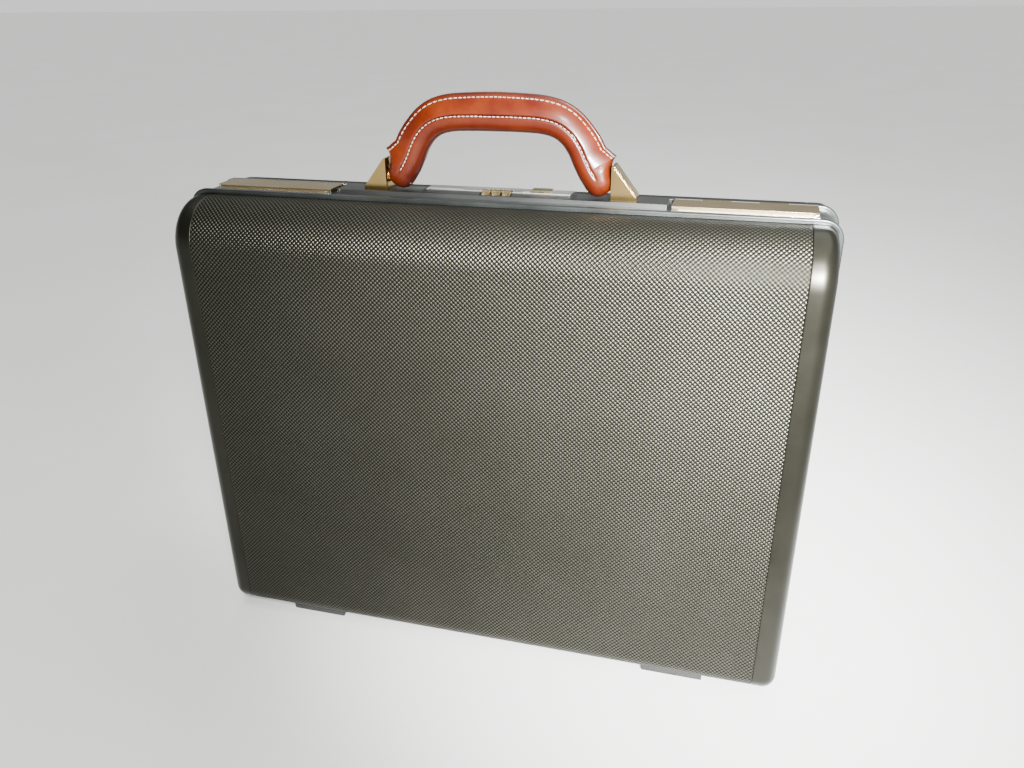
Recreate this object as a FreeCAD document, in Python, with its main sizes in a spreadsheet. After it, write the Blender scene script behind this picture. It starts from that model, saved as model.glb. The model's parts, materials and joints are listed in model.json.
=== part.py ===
import FreeCAD, Part
import math
import os
import re
import Sketcher

# Aluminium attache case, standing on its hinge side.  Millimetres.
# X runs to the right seen from the lid side, the lid faces -Y, Z is up.
# The origin is the middle of the case, on the plane that its feet stand on.
# A place is given by how deep it lies from the parting plane of the two halves,
# or by how far it lies outside (+) or inside (-) the outline of the shells.

SIZES = [
    # the two shells
    ("case_width", 450), ("case_height", 345), ("lid_depth", 54), ("base_depth", 76),
    ("wall", 2), ("top_rounding", 33), ("bottom_rounding", 14), ("side_rounding", 10),
    ("cap_width", 17), ("cap_lap", 10), ("lap_wall", 1.5), ("lap_clearance", 0.05), ("lap_gap", 0.3),
    ("lap_root", 2),
    ("lining_wall", 1.2),
    # the feet
    ("foot_height", 5), ("foot_length", 46), ("foot_width", 20), ("foot_spread", 298),
    ("foot_inset", 8), ("foot_edge", 1.5),
    # the frame rings
    ("lid_frame_depth", 16), ("base_frame_depth", 27), ("band_proud", 1), ("bead_proud", 3.2),
    ("bead_width", 4), ("bead_rounding", 0.9), ("skin_inset", 1.2), ("frame_reach", 4.1), ("rim",
                                                                                           1.5), ("web", 2),
    ("slot_depth", 6), ("slot_clearance", 0.05), ("seal_depth", 0.8), ("seal_inset", 2),
    ("seal_width", 1.5), ("seal_gap", 0.05),
    # the hinges
    ("hinge_spread", 220), ("hinge_length", 60), ("knuckle_radius", 1.75), ("knuckle_gap", 0.15),
    ("hinge_pin_radius", 0.9), ("pin_clearance", 0.05), ("hinge_drop", 2), ("leaf_wall", 1.2),
    ("leaf_gap", 2.2), ("leaf_width", 8), ("rivet_radius", 1.2), ("rivet_head", 2),
    ("rivet_head_height", 0.6), ("rivet_spacing", 40), ("rivet_depth", 6),
    # the lid stays
    ("stay_reach", 90), ("stay_offset", 14), ("stay_wall", 1.5), ("stay_width", 9),
    ("stay_pin_radius", 2.2), ("stay_gap", 0.5), ("stay_plate", 2.5), ("stay_plate_width", 16),
    ("stay_plate_height", 24), ("elbow_clearance", 0.3), ("elbow_head", 3.4),
    # the latches
    ("latch_inner", 121.5), ("latch_length", 92), ("latch_wall", 1.3), ("latch_lift", 1.6),
    ("latch_pin_depth", 21.2), ("latch_pin_rise", 1.4), ("latch_knuckle", 1.35),
    ("latch_pin_radius", 0.7), ("latch_corner", 4), ("latch_seat", 0.8), ("latch_seat_width", 3.4),
    ("flange_reach", 1.7), ("flange_wall", 1.2), ("flange_gap", 0.3), ("strike_reach", 6),
    ("strike_seat", 0.6), ("strike_lip", 1.3), ("strike_lip_wall", 1.2), ("strike_land", 0.9),
    ("strike_land_width", 2.7), ("spring_wall", 0.3), ("spring_width", 12), ("spring_flat",
                                                                             7), ("spring_reach", 12),
    ("spring_gap", 0.3), ("strike_gap", 0.1), ("knuckle_block", 0.9),
    # the catch under each latch and the lock bar
    ("tab_inset", 4.5), ("tab_length", 8), ("tab_depth", 3.6), ("tab_wall", 1.8), ("tab_drop", 5.5),
    ("toe_reach", 3.5), ("toe_height", 1.5), ("tab_room", 0.4), ("tab_swing_room", 1.5),
    ("pawl_gap", 0.3), ("pawl_wall", 1.2), ("pawl_bite", 2.5), ("pawl_length", 7), ("bar_height", 1.9),
    ("bar_gap", 0.6), ("release_travel", 5), ("post_length", 8), ("post_wall", 2),
    ("coil_radius", 1.3), ("coil_wire", 0.25), ("coil_rise", 0.9),
    # the lock housing, its plates and its inner cover
    ("housing_length", 236), ("housing_front", 2), ("housing_width", 20.8), ("housing_height", 2.6),
    ("lock_length", 108), ("lock_rise", 1.4), ("lock_slope", 5.5), ("lock_step", 1), ("lock_plate_wall", 0.6),
    ("lock_plate_length", 104), ("lock_plate_width", 13), ("lock_plate_inset", 0.6),
    ("name_plate_length", 26), ("name_plate_start", -51), ("name_plate_width", 9),
    ("name_plate_wall", 0.3), ("button_start", 24), ("button_length", 14), ("button_width", 10),
    ("button_height", 1.4), ("button_gap", 0.05), ("slot_room", 0.3), ("cover_wall", 0.8),
    ("cover_room", 1.7), ("cover_gap", 0.2), ("cover_left", 158), ("cover_right", 142),
    # the number dials
    ("dial_radius", 6.7), ("dial_width", 6.2), ("dial_pitch", 7.4), ("dial_depth", 11),
    ("dial_drop", 0.1), ("axle_radius", 1.2), ("dial_room", 0.4), ("cheek_wall", 1.3),
    ("cheek_width", 6), ("dial_grip_count", 10), ("dial_grip_radius", 0.5), ("dial_relief", 1),
    ("window_gap", 0.3), ("cheek_gap", 0.1), ("post_inset", 1),
    # the handle and its brackets
    ("bracket_inner", 80.2), ("bracket_length", 17), ("bracket_height", 22.5), ("bracket_crest", 1.5),
    ("bracket_toe", 2.5), ("bracket_front", 4), ("bracket_width", 18), ("bracket_groove", 1.6),
    ("bracket_groove_inset", 2), ("bracket_groove_depth", 1.8), ("pivot_depth", 13),
    ("pivot_rise", 13.3), ("handle_pin_radius", 2.5), ("handle_pin_length", 24.5),
    ("handle_pin_seat", 7.8), ("handle_thickness", 18.4), ("handle_rise", 71.3),
    ("handle_grip", 26), ("handle_core_wall", 6), ("handle_core_width", 8), ("handle_leg", 69.5),
    ("handle_leg_rounding", 8.4), ("handle_fin", 79.6), ("handle_fin_rise", 29.5),
    ("core_bend", 23), ("core_shoulder", 20), ("core_drop", 5), ("core_inner_rise", 4),
    ("core_outer_rise", 5.5), ("core_depth", 6.5), ("grip_bend", 33.5), ("grip_elbow", 20),
    ("grip_elbow_drop", 11), ("grip_shin", 12.5), ("grip_shin_rise", 2), ("grip_toe", 7),
    ("grip_heel", 6), ("grip_ankle", 8), ("grip_ankle_rise", 6), ("grip_end_trim", 0.4),
    ("crown_shoulder", 11.5), ("crown_shoulder_drop", 12.5), ("crown_bend", 32.5),
    ("crown_bend_drop", 2.8), ("crown_flat", 50),
    ("bushing_radius", 4.5), ("bushing_length", 1.6), ("screw_radius", 1.5),
    ("screw_length", 10), ("screw_head_radius", 2.6), ("screw_head_height", 2),
    ("screw_spacing", 9), ("screw_depth", 14.6),
    # the organiser in the lid
    ("organiser_side_gap", 39), ("organiser_low_gap", 70), ("organiser_top_gap", 65),
    ("organiser_wall", 3.5), ("organiser_rounding", 12),
]

doc = FreeCAD.newDocument("attache_case")
sheet = doc.addObject("Spreadsheet::Sheet", "Sizes")
for row, (alias, number) in enumerate(SIZES, start=1):
    sheet.set(f"A{row}", alias)
    sheet.set(f"B{row}", str(number))
    sheet.setAlias(f"B{row}", alias)
doc.recompute()

ALIASES = re.compile(r"\b(" + "|".join(alias for alias, _ in SIZES) + r")\b")
PLANE_ROLES = {"XY": "XY_Plane", "XZ": "XZ_Plane", "YZ": "YZ_Plane"}
TINY = 1e-4
sub_parts = []


# ---------------------------------------------------------------- expressions
def bound(text):
    """The same formula with every size name pointing at the sheet."""
    return ALIASES.sub(r"Sizes.\1", str(text))


def amount(text):
    """What a formula comes to with the sizes as they are now."""
    return float(sheet.evalExpression(bound(text)))


def bind(item, **formulas):
    """Binds properties of an object to formulas; __ in a name stands for a dot."""
    for name, text in formulas.items():
        item.setExpression(name.replace("__", "."), bound(text))


# ---------------------------------------------------------------- sketches
def fix_point(sketch, geometry, end, across, up):
    """Ties one end of a line to the sketch's origin by two formulas."""
    for kind, text in (("DistanceX", across), ("DistanceY", up)):
        rule = Sketcher.Constraint(kind, -1, 1, geometry, end, amount(text))
        index = sketch.addConstraint(rule)
        sketch.setExpression(f"Constraints[{index}]", bound(text))


def polygon(*corners):
    """A closed outline of straight sides through corners given as two formulas each."""
    def draw(sketch):
        points = [FreeCAD.Vector(amount(a), amount(b), 0) for a, b in corners]
        first = sketch.GeometryCount
        for start, finish in zip(points, points[1:] + points[:1]):
            sketch.addGeometry(Part.LineSegment(start, finish), False)
        for index, (across, up) in enumerate(corners):
            before = first + (index - 1) % len(corners)
            sketch.addConstraint(Sketcher.Constraint("Coincident", before, 2, first + index, 1))
            fix_point(sketch, first + index, 1, across, up)
    return draw


def rectangle(left, right, low, high):
    """A rectangle given by the formulas of its four sides."""
    return polygon((left, low), (right, low), (right, high), (left, high))


def circle(across, up, radius):
    """A circle given by its centre and radius."""
    def draw(sketch):
        centre = FreeCAD.Vector(amount(across), amount(up), 0)
        ring = Part.Circle(centre, FreeCAD.Vector(0, 0, 1), amount(radius))
        index = sketch.addGeometry(ring, False)
        fix_point(sketch, index, 3, across, up)
        size = sketch.addConstraint(Sketcher.Constraint("Radius", index, amount(radius)))
        sketch.setExpression(f"Constraints[{size}]", bound(radius))
    return draw


def rounded(left, right, low, high, radii):
    """A rectangle with tangent arcs at its corners, from low left round to high left."""
    def draw(sketch):
        sides = [amount(side) for side in (left, right, low, high)]
        corners = [(sides[0], sides[2]), (sides[1], sides[2]), (sides[1], sides[3]), (sides[0], sides[3])]
        turns = [(1, 0), (0, 1), (-1, 0), (0, -1)]
        bends = [0 if radius == 0 else amount(radius) for radius in radii]
        lines = []
        for index, (x, y) in enumerate(corners):
            ahead = (index + 1) % len(corners)
            run = turns[index]
            start = (x + run[0] * bends[index], y + run[1] * bends[index])
            stop = (corners[ahead][0] - run[0] * bends[ahead], corners[ahead][1] - run[1] * bends[ahead])
            edge = Part.LineSegment(FreeCAD.Vector(*start, 0), FreeCAD.Vector(*stop, 0))
            lines.append(sketch.addGeometry(edge, False))
            level = "Vertical" if run[0] == 0 else "Horizontal"
            sketch.addConstraint(Sketcher.Constraint(level, lines[-1]))
        for index, (x, y) in enumerate(corners):
            before, after = lines[index - 1], lines[index]
            if bends[index] == 0:
                sketch.addConstraint(Sketcher.Constraint("Coincident", before, 2, after, 1))
                continue
            run, last = turns[index], turns[index - 1]
            inward = (run[0] - last[0], run[1] - last[1])
            centre = FreeCAD.Vector(x + inward[0] * bends[index], y + inward[1] * bends[index], 0)
            bow = Part.Circle(centre, FreeCAD.Vector(0, 0, 1), bends[index])
            begin = math.atan2(-run[1], -run[0])
            arc = sketch.addGeometry(Part.ArcOfCircle(bow, begin, begin + math.pi / 2), False)
            sketch.addConstraint(Sketcher.Constraint("Tangent", before, 2, arc, 1))
            sketch.addConstraint(Sketcher.Constraint("Tangent", arc, 2, after, 1))
            size = sketch.addConstraint(Sketcher.Constraint("Radius", arc, bends[index]))
            sketch.setExpression(f"Constraints[{size}]", bound(radii[index]))
        places = (("DistanceY", 0, low), ("DistanceX", 1, right), ("DistanceY", 2, high),
                  ("DistanceX", 3, left))
        for kind, side, text in places:
            rule = Sketcher.Constraint(kind, -1, 1, lines[side], 1, amount(text))
            index = sketch.addConstraint(rule)
            sketch.setExpression(f"Constraints[{index}]", bound(text))
    return draw


# ---------------------------------------------------------------- bodies
class Piece:
    """One sub-part made as a PartDesign body, and the short calls that shape it."""

    def __init__(self, label):
        self.body = doc.addObject("PartDesign::Body", label)
        self.body.Label = label
        sub_parts.append(self.body)

    def sketch(self, plane, place, outlines):
        """A sketch on one of the body's own planes, moved along the plane's normal."""
        sketch = self.body.newObject("Sketcher::SketchObject", "outline")
        role = PLANE_ROLES[plane]
        own = next(item for item in self.body.Origin.OriginFeatures if item.Role == role)
        sketch.AttachmentSupport = [(own, "")]
        sketch.MapMode = "FlatFace"
        away = f"-({place})" if plane == "XZ" else place
        bind(sketch, AttachmentOffset__Base__z=away)
        for outline in outlines:
            outline(sketch)
        sketch.Visibility = False
        return sketch

    def add(self, plane, start, end, *outlines):
        """Pads an outline from one place to the other, along the plane's axis."""
        foot = end if plane == "XZ" else start
        pad = self.body.newObject("PartDesign::Pad", "pad")
        pad.Profile = self.sketch(plane, foot, outlines)
        bind(pad, Length=f"({end}) - ({start})")
        doc.recompute()
        return self

    def cut(self, plane, start, end, *outlines):
        """Pockets an outline from one place to the other; refuses to cut nothing."""
        before = self.body.Shape.Volume
        foot = start if plane == "XZ" else end
        pocket = self.body.newObject("PartDesign::Pocket", "pocket")
        pocket.Profile = self.sketch(plane, foot, outlines)
        bind(pocket, Length=f"({end}) - ({start})")
        doc.recompute()
        if self.body.Shape.Volume > before - TINY:
            raise ValueError(f"a pocket in {self.body.Label} cuts nothing")
        return self

    def round(self, radius, chosen):
        """Fillets the edges that the test picks."""
        names = [f"Edge{n}" for n, edge in enumerate(self.body.Shape.Edges, start=1) if chosen(edge)]
        if not names:
            raise ValueError(f"no edge to round in {self.body.Label}")
        tip = self.body.Tip
        fillet = self.body.newObject("PartDesign::Fillet", "rounding")
        fillet.Base = (tip, names)
        bind(fillet, Radius=radius)
        doc.recompute()
        return self


def at_x(place, beyond=None):
    """Picks edges that lie wholly at one x, and not wholly at one y."""
    def chosen(edge):
        box = edge.BoundBox
        level = abs(box.XMin - amount(place)) < TINY and abs(box.XMax - amount(place)) < TINY
        open_side = beyond is not None and abs(box.YMin - amount(beyond)) < TINY
        open_side = open_side and abs(box.YMax - amount(beyond)) < TINY
        return level and not open_side
    return chosen


def at_bead(place):
    """Picks the rim edges of the bead that lie at one y, on its outermost outline."""
    def chosen(edge):
        box = edge.BoundBox
        level = abs(box.YMin - amount(place)) < TINY and abs(box.YMax - amount(place)) < TINY
        middle = edge.CenterOfMass
        reach_x = amount(f"{HALF} + bead_proud")
        reach_z = amount(f"case_height / 2 + bead_proud")
        from_middle = max(abs(middle.x) - reach_x, abs(middle.z - amount(SHELL_MIDDLE)) - reach_z)
        corner = edge.Curve.TypeId == "Part::GeomCircle"
        radius = amount("side_rounding + bead_proud")
        return level and (abs(edge.Curve.Radius - radius) < TINY if corner else abs(from_middle) < TINY)
    return chosen


def along(axis, **places):
    """Picks straight edges along an axis whose other places match, in millimetres."""
    def chosen(edge):
        box = edge.BoundBox
        lengths = {"x": box.XLength, "y": box.YLength, "z": box.ZLength}
        lows = {"x": box.XMin, "y": box.YMin, "z": box.ZMin}
        others = [lengths[name] for name in lengths if name != axis]
        if lengths[axis] < TINY or max(others) > TINY:
            return False
        return all(any(abs(lows[name] - amount(text)) < TINY for text in texts) for name,
                   texts in places.items())
    return chosen


def mirrored(side, near, far):
    """The start and end of a stretch on the right (+1) or left (-1) of the middle."""
    if side > 0:
        return near, far
    return f"-({far})", f"-({near})"


def cylinder(name, radius, length, x, y, z, turn):
    """A Part cylinder bound to formulas; turn is its rotation."""
    rod = doc.addObject("Part::Cylinder", name)
    rod.Placement.Rotation = turn
    bind(rod, Radius=radius, Height=length)
    bind(rod, Placement__Base__x=x, Placement__Base__y=y, Placement__Base__z=z)
    return rod


def group(label, items):
    """Separate solids that share one name."""
    bundle = doc.addObject("Part::Compound", label)
    bundle.Links = items
    bundle.Label = label
    sub_parts.append(bundle)
    return bundle


ALONG_X = FreeCAD.Rotation(FreeCAD.Vector(0, 1, 0), 90)
UPRIGHT = FreeCAD.Rotation()
SIDES = {"left": -1, "right": 1}

# ---------------------------------------------------------------- named places
FRONT = "(-(lid_depth + base_depth) / 2)"
PARTING = f"({FRONT} + lid_depth)"
HALF = "(case_width / 2)"
SHELL_LOW = "foot_height"
SHELL_TOP = "(foot_height + case_height)"
SHELL_MIDDLE = "(foot_height + case_height / 2)"
BAND_TOP = f"({SHELL_TOP} + band_proud)"
SKIN_LOW = f"({SHELL_TOP} - skin_inset)"
CAP_EDGE = f"({HALF} - cap_width)"
HINGE_Z = f"({SHELL_LOW} - band_proud - hinge_drop)"
STAY_Z = f"({HINGE_Z} + sqrt(stay_reach * stay_reach - stay_offset * stay_offset))"
ELBOW_Z = f"(2 * {STAY_Z} - {HINGE_Z})"
LATCH_PIN_Y = f"({PARTING} + latch_pin_depth)"
LATCH_PIN_Z = f"({BAND_TOP} + latch_pin_rise)"
HOUSING_TOP = f"({BAND_TOP} + housing_height)"
LOCK_TOP = f"({HOUSING_TOP} + lock_rise)"
PLATE_TOP = f"({LOCK_TOP} + lock_plate_wall)"
DIAL_Y = f"({PARTING} + dial_depth)"
DIAL_Z = f"({SHELL_TOP} - dial_drop)"
COVER_LOW = f"({DIAL_Z} - dial_radius - cover_room)"
TOE_LOW = f"({SHELL_TOP} - tab_drop + 1)"
PIVOT_Y = f"({PARTING} + pivot_depth)"
PIVOT_Z = f"({SHELL_TOP} + pivot_rise)"


class Half:
    """One half of the case: its name, its sizes and which way it goes from the parting."""

    def __init__(self, name, way):
        self.name = name
        self.way = way
        self.depth = f"{name}_depth"
        self.frame = f"{name}_frame_depth"
        self.bend = f"min(top_rounding; {name}_depth - {name}_frame_depth - 1)"
        self.low_bend = f"min(bottom_rounding; {name}_depth - {name}_frame_depth - 1)"

    def at(self, depth):
        """The y of a plane at this depth from the parting."""
        return f"({PARTING} + {self.way} * ({depth}))"

    def between(self, near, far):
        """The start and end of a stretch of depth, lower y first."""
        places = (self.at(near), self.at(far))
        return places if self.way > 0 else places[::-1]

    def profile(self, outside, near):
        """The side view of this half, grown outside the shell, from a depth to its far face."""
        start, end = self.between(near, f"{self.depth} + ({outside})")
        top = f"{self.bend} + ({outside})"
        low = f"{self.low_bend} + ({outside})"
        radii = (0, low, top, 0) if self.way > 0 else (low, 0, 0, top)
        return rounded(start, end, f"{SHELL_LOW} - ({outside})", f"{SHELL_TOP} + ({outside})", radii)


LID = Half("lid", -1)
BASE = Half("base", 1)


def outline(outside):
    """The front view of the case, grown outside the shell by so much."""
    reach = f"({HALF} + ({outside}))"
    radius = f"side_rounding + ({outside})"
    low, high = f"{SHELL_LOW} - ({outside})", f"{SHELL_TOP} + ({outside})"
    return rounded(f"-{reach}", reach, low, high, (radius,) * 4)


# ---------------------------------------------------------------- shells
def shell_pieces(half):
    """The wrapped panel, its two end caps and the lining tub of one half."""
    edge = f"{half.frame} - slot_depth"
    beyond = f"{half.frame} - slot_depth - 5"
    panel = Piece(f"{half.name}_panel")
    panel.add("YZ", f"-{CAP_EDGE}", CAP_EDGE, half.profile("0", edge))
    panel.cut("YZ", f"-{CAP_EDGE} - 1", f"{CAP_EDGE} + 1", half.profile("-wall", beyond))
    lap = "-(wall + lap_clearance)"
    hollow = "-(wall + lap_clearance + lap_wall)"
    clear_of_ring = f"{half.frame} + lap_gap"
    for side, way in SIDES.items():
        cap = Piece(f"{half.name}_end_cap_{side}")
        cap.add("YZ", *mirrored(way, CAP_EDGE, HALF), half.profile("0", edge))
        cap.add("YZ", *mirrored(way, f"{CAP_EDGE} - cap_lap", CAP_EDGE), half.profile(lap, clear_of_ring))
        cap.cut("YZ", *mirrored(way, f"{CAP_EDGE} - cap_lap - 1", f"{CAP_EDGE} + lap_root"),
                half.profile(hollow, beyond))
        cap.cut("YZ", *mirrored(way, f"{CAP_EDGE} + lap_root", f"{HALF} - wall"),
                half.profile("-wall", beyond))
        ring_zone = rectangle(*half.between(beyond, clear_of_ring), f"{SHELL_LOW} + wall",
                              f"{SHELL_TOP} - wall")
        cap.cut("YZ", *mirrored(way, f"{CAP_EDGE} - 1", f"{CAP_EDGE} + lap_root"), ring_zone)
        cap.round("side_rounding - wall - 1", at_x(f"{way} * ({HALF} - wall)", half.at(edge)))
        cap.round("side_rounding", at_x(f"{way} * {HALF}", half.at(edge)))


# ---------------------------------------------------------------- linings
def lining(half):
    """A thin tub that covers the inside of one half, held in the frame ring."""
    reach = f"({HALF} - frame_reach)"
    inside = f"({HALF} - frame_reach - lining_wall)"
    tub = Piece(f"{half.name}_lining")
    tub.add("YZ", f"-{reach}", reach, half.profile("-frame_reach", "rim"))
    tub.cut("YZ", f"-{inside}", inside, half.profile("-(frame_reach + lining_wall)", "rim - 5"))
    opening = half.at("rim")
    for way in SIDES.values():
        tub.round("side_rounding - frame_reach - lining_wall", at_x(f"{way} * {inside}", opening))
    for way in SIDES.values():
        tub.round("side_rounding - frame_reach", at_x(f"{way} * {reach}", opening))
    return tub


# ---------------------------------------------------------------- frame rings
def frame_ring(half):
    """The extruded ring that holds the shell edges: rim, skin, web, slot and bead."""
    ring = Piece(f"{half.name}_frame")
    slot_floor = f"{half.frame} - slot_depth"
    reach = "-frame_reach"
    stretches = [
        ("0", "rim", "band_proud", reach),
        ("rim", f"{slot_floor} - web", "band_proud", "-skin_inset"),
        (f"{slot_floor} - web", slot_floor, "band_proud", reach),
        (slot_floor, half.frame, "band_proud", "slot_clearance"),
        (f"{half.frame} - bead_width", half.frame, "bead_proud", "slot_clearance"),
        (slot_floor, half.frame, "-(wall + slot_clearance)", reach),
    ]
    for near, far, outer, inner in stretches:
        ring.add("XZ", *half.between(near, far), outline(outer), outline(inner))
    for depth in (half.frame, f"{half.frame} - bead_width"):
        ring.round("bead_rounding", at_bead(half.at(depth)))
    return ring


# ---------------------------------------------------------------- build: shells and frames
for case_half in (LID, BASE):
    shell_pieces(case_half)

lid_lining = lining(LID)
base_lining = lining(BASE)
base_lining.cut("XZ", BASE.at("rim - 1"), BASE.at(f"{BASE.frame} - slot_depth - web"),
                rectangle("-(cover_left + 1)", "cover_right + 1", f"{COVER_LOW} - 1", SHELL_TOP))

lid_frame = frame_ring(LID)
base_frame = frame_ring(BASE)

# the seats of the two strikes in the lid's ring
for way in SIDES.values():
    start, end = mirrored(way, "latch_inner", "latch_inner + latch_length")
    seat = rectangle(start, end, f"{PARTING} - strike_reach", PARTING)
    lid_frame.cut("XY", f"{BAND_TOP} - strike_seat", f"{BAND_TOP} + 1", seat)

# the seal and its groove in the base's rim
base_frame.cut("XZ", BASE.at("-0.5"), BASE.at("seal_depth"),
               outline("-seal_inset"), outline("-(seal_inset + seal_width)"))
seal = Piece("frame_seal")
seal.add("XZ", BASE.at("seal_gap"), BASE.at("seal_depth"),
         outline("-seal_inset"), outline("-(seal_inset + seal_width)"))

# openings through the top of the base's ring, and the seats of the latch hinges
for side, way in SIDES.items():
    start, end = mirrored(way, "latch_inner + tab_inset", "latch_inner + tab_inset + tab_length")
    slot = rectangle(f"{start} - toe_reach - tab_room", f"{end} + tab_room",
                     f"{PARTING} + tab_depth - tab_swing_room", f"{PARTING} + tab_depth + tab_wall + tab_room")
    base_frame.cut("XY", f"{SKIN_LOW} - 1", f"{BAND_TOP} + 1", slot)
    start, end = mirrored(way, "latch_inner", "latch_inner + latch_length")
    seat = rectangle(start, end, f"{LATCH_PIN_Y} - latch_seat_width / 2",
                     f"{LATCH_PIN_Y} + latch_seat_width / 2")
    base_frame.cut("XY", f"{BAND_TOP} - latch_seat", f"{BAND_TOP} + 2", seat)
CHEEK_OUT = "(1.5 * dial_pitch + dial_room + cheek_wall)"
DIAL_WINDOW = rectangle(f"-({CHEEK_OUT} + cheek_gap)", f"{CHEEK_OUT} + cheek_gap",
                        f"{DIAL_Y} - dial_radius - dial_room", f"{DIAL_Y} + dial_radius + dial_room")
POST_SLOT = rectangle("button_start - release_travel - slot_room",
                      "button_start + post_inset + post_length + slot_room",
                      f"{DIAL_Y} - post_wall / 2 - slot_room", f"{DIAL_Y} + post_wall / 2 + slot_room")
base_frame.cut("XY", f"{SKIN_LOW} - 1", f"{BAND_TOP} + 1", DIAL_WINDOW)
base_frame.cut("XY", f"{SKIN_LOW} - 1", f"{BAND_TOP} + 1", POST_SLOT)

SCREW_Y = f"({PARTING} + screw_depth)"
SCREW_X = [f"{way} * (bracket_inner + bracket_length / 2 + {end} * screw_spacing / 2)"
           for way in SIDES.values() for end in (-1, 1)]
for place in SCREW_X:
    base_frame.cut("XY", f"{SKIN_LOW} - 1", f"{BAND_TOP} + 1",
                   circle(place, SCREW_Y, "screw_radius + pin_clearance"))


# ---------------------------------------------------------------- feet
def feet(half):
    """Two block feet under the flat bottom of one half."""
    blocks = []
    for side, way in SIDES.items():
        foot = doc.addObject("Part::Box", f"{half.name}_foot_{side}")
        bind(foot, Length="foot_length", Width="foot_width", Height="foot_height")
        start, _ = half.between(f"{half.depth} - foot_inset - foot_width", f"{half.depth} - foot_inset")
        bind(foot, Placement__Base__x=f"{way} * foot_spread / 2 - foot_length / 2", Placement__Base__y=start)
        doc.recompute()
        eased = doc.addObject("Part::Fillet", f"{half.name}_foot_eased_{side}")
        eased.Base = foot
        low = [n for n, edge in enumerate(foot.Shape.Edges, start=1) if edge.BoundBox.ZMax < TINY]
        eased.Edges = [(n, amount("foot_edge"), amount("foot_edge")) for n in low]
        blocks.append(eased)
    group(f"{half.name}_feet", blocks)


feet(LID)
feet(BASE)


# ---------------------------------------------------------------- hinges
def knuckle_stretches(length, count, gap):
    """Start and end of each knuckle of a hinge, measured from its middle."""
    pitch = f"({length}) / {count}"
    return [(f"-({length}) / 2 + {n} * {pitch} + {gap} / 2",
             f"-({length}) / 2 + {n + 1} * {pitch} - {gap} / 2")
            for n in range(count)]


KNUCKLES = 5
RIVET_X = [f"{way} * hinge_spread / 2 + {end} * rivet_spacing / 2" for way in SIDES.values()
           for end in (-1, 1)]
LEAF_TOP = f"({SHELL_LOW} - band_proud)"
for side, way in SIDES.items():
    middle = f"({way} * hinge_spread / 2)"
    for half, first in ((BASE, 0), (LID, 1)):
        leaf = Piece(f"{half.name}_hinge_leaf_{side}")
        start, end = half.between("leaf_gap", "leaf_gap + leaf_width")
        leaf.add("XY", f"{LEAF_TOP} - leaf_wall", LEAF_TOP,
                 rectangle(f"{middle} - hinge_length / 2", f"{middle} + hinge_length / 2", start, end))
        for begin, finish in knuckle_stretches("hinge_length", KNUCKLES, "knuckle_gap")[first::2]:
            begin, finish = f"{middle} + {begin}", f"{middle} + {finish}"
            arm = rectangle(*half.between("0", "leaf_gap"), f"{LEAF_TOP} - leaf_wall", f"{LEAF_TOP} - 0.25")
            leaf.add("YZ", begin, finish, arm)
            leaf.add("YZ", begin, finish, circle(PARTING, HINGE_Z, "knuckle_radius"))
        room = "pin_clearance" if half is LID else "0"
        leaf.cut("YZ", f"{middle} - hinge_length / 2 - 1", f"{middle} + hinge_length / 2 + 1",
                 circle(PARTING, HINGE_Z, f"hinge_pin_radius + {room}"))
        for end in (-1, 1):
            leaf.cut("XY", f"{LEAF_TOP} - leaf_wall - 1", f"{LEAF_TOP} + 1",
                     circle(f"{middle} + {end} * rivet_spacing / 2", half.at("rivet_depth"),
                            "rivet_radius + pin_clearance"))

pins = [cylinder(f"hinge_pin_{side}", "hinge_pin_radius", "hinge_length",
                 f"{way} * hinge_spread / 2 - hinge_length / 2", PARTING, HINGE_Z, ALONG_X)
        for side, way in SIDES.items()]
group("hinge_pins", pins)

for half in (LID, BASE):
    rivets = []
    for number, place in enumerate(RIVET_X):
        shank = cylinder(f"{half.name}_rivet_shank_{number}", "rivet_radius", "leaf_wall",
                         place, half.at("rivet_depth"), f"{LEAF_TOP} - leaf_wall", UPRIGHT)
        head = cylinder(f"{half.name}_rivet_head_{number}", "rivet_head", "rivet_head_height",
                        place, half.at("rivet_depth"), f"{LEAF_TOP} - leaf_wall - rivet_head_height", UPRIGHT)
        rivet = doc.addObject("Part::Fuse", f"{half.name}_rivet_{number}")
        rivet.Base = shank
        rivet.Tool = head
        rivets.append(rivet)
    group(f"{half.name}_hinge_rivets", rivets)

# ---------------------------------------------------------------- lid stays
# Two arms on each side make a rhombus with the hinge line: as the lid turns, the base's arm
# turns with it and the lid's arm keeps its direction.  They meet at the elbow pin.
STAY_WALL_X = f"({HALF} - frame_reach - lining_wall)"
ARM_OUT = f"({STAY_WALL_X} - stay_plate - stay_gap)"
BASE_ARM = (f"{ARM_OUT} - stay_wall", ARM_OUT)
LID_ARM = (f"{ARM_OUT} - 2 * stay_wall - stay_gap", f"{ARM_OUT} - stay_wall - stay_gap")
STAY_EYE = "stay_width / 2"


def arm_bar(from_y, to_y):
    """The straight flank of an arm between its two eyes: half its width to each side of their line."""
    aside = f"stay_width / 2 * ({STAY_Z} - {HINGE_Z}) / stay_reach"
    drop = f"stay_width / 2 * (({to_y}) - ({from_y})) / stay_reach"
    return polygon((f"{from_y} + {aside}", f"{STAY_Z} - {drop}"),
                   (f"{to_y} + {aside}", f"{ELBOW_Z} - {drop}"),
                   (f"{to_y} - {aside}", f"{ELBOW_Z} + {drop}"), (f"{from_y} - {aside}",
                                                                  f"{STAY_Z} + {drop}"))


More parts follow.
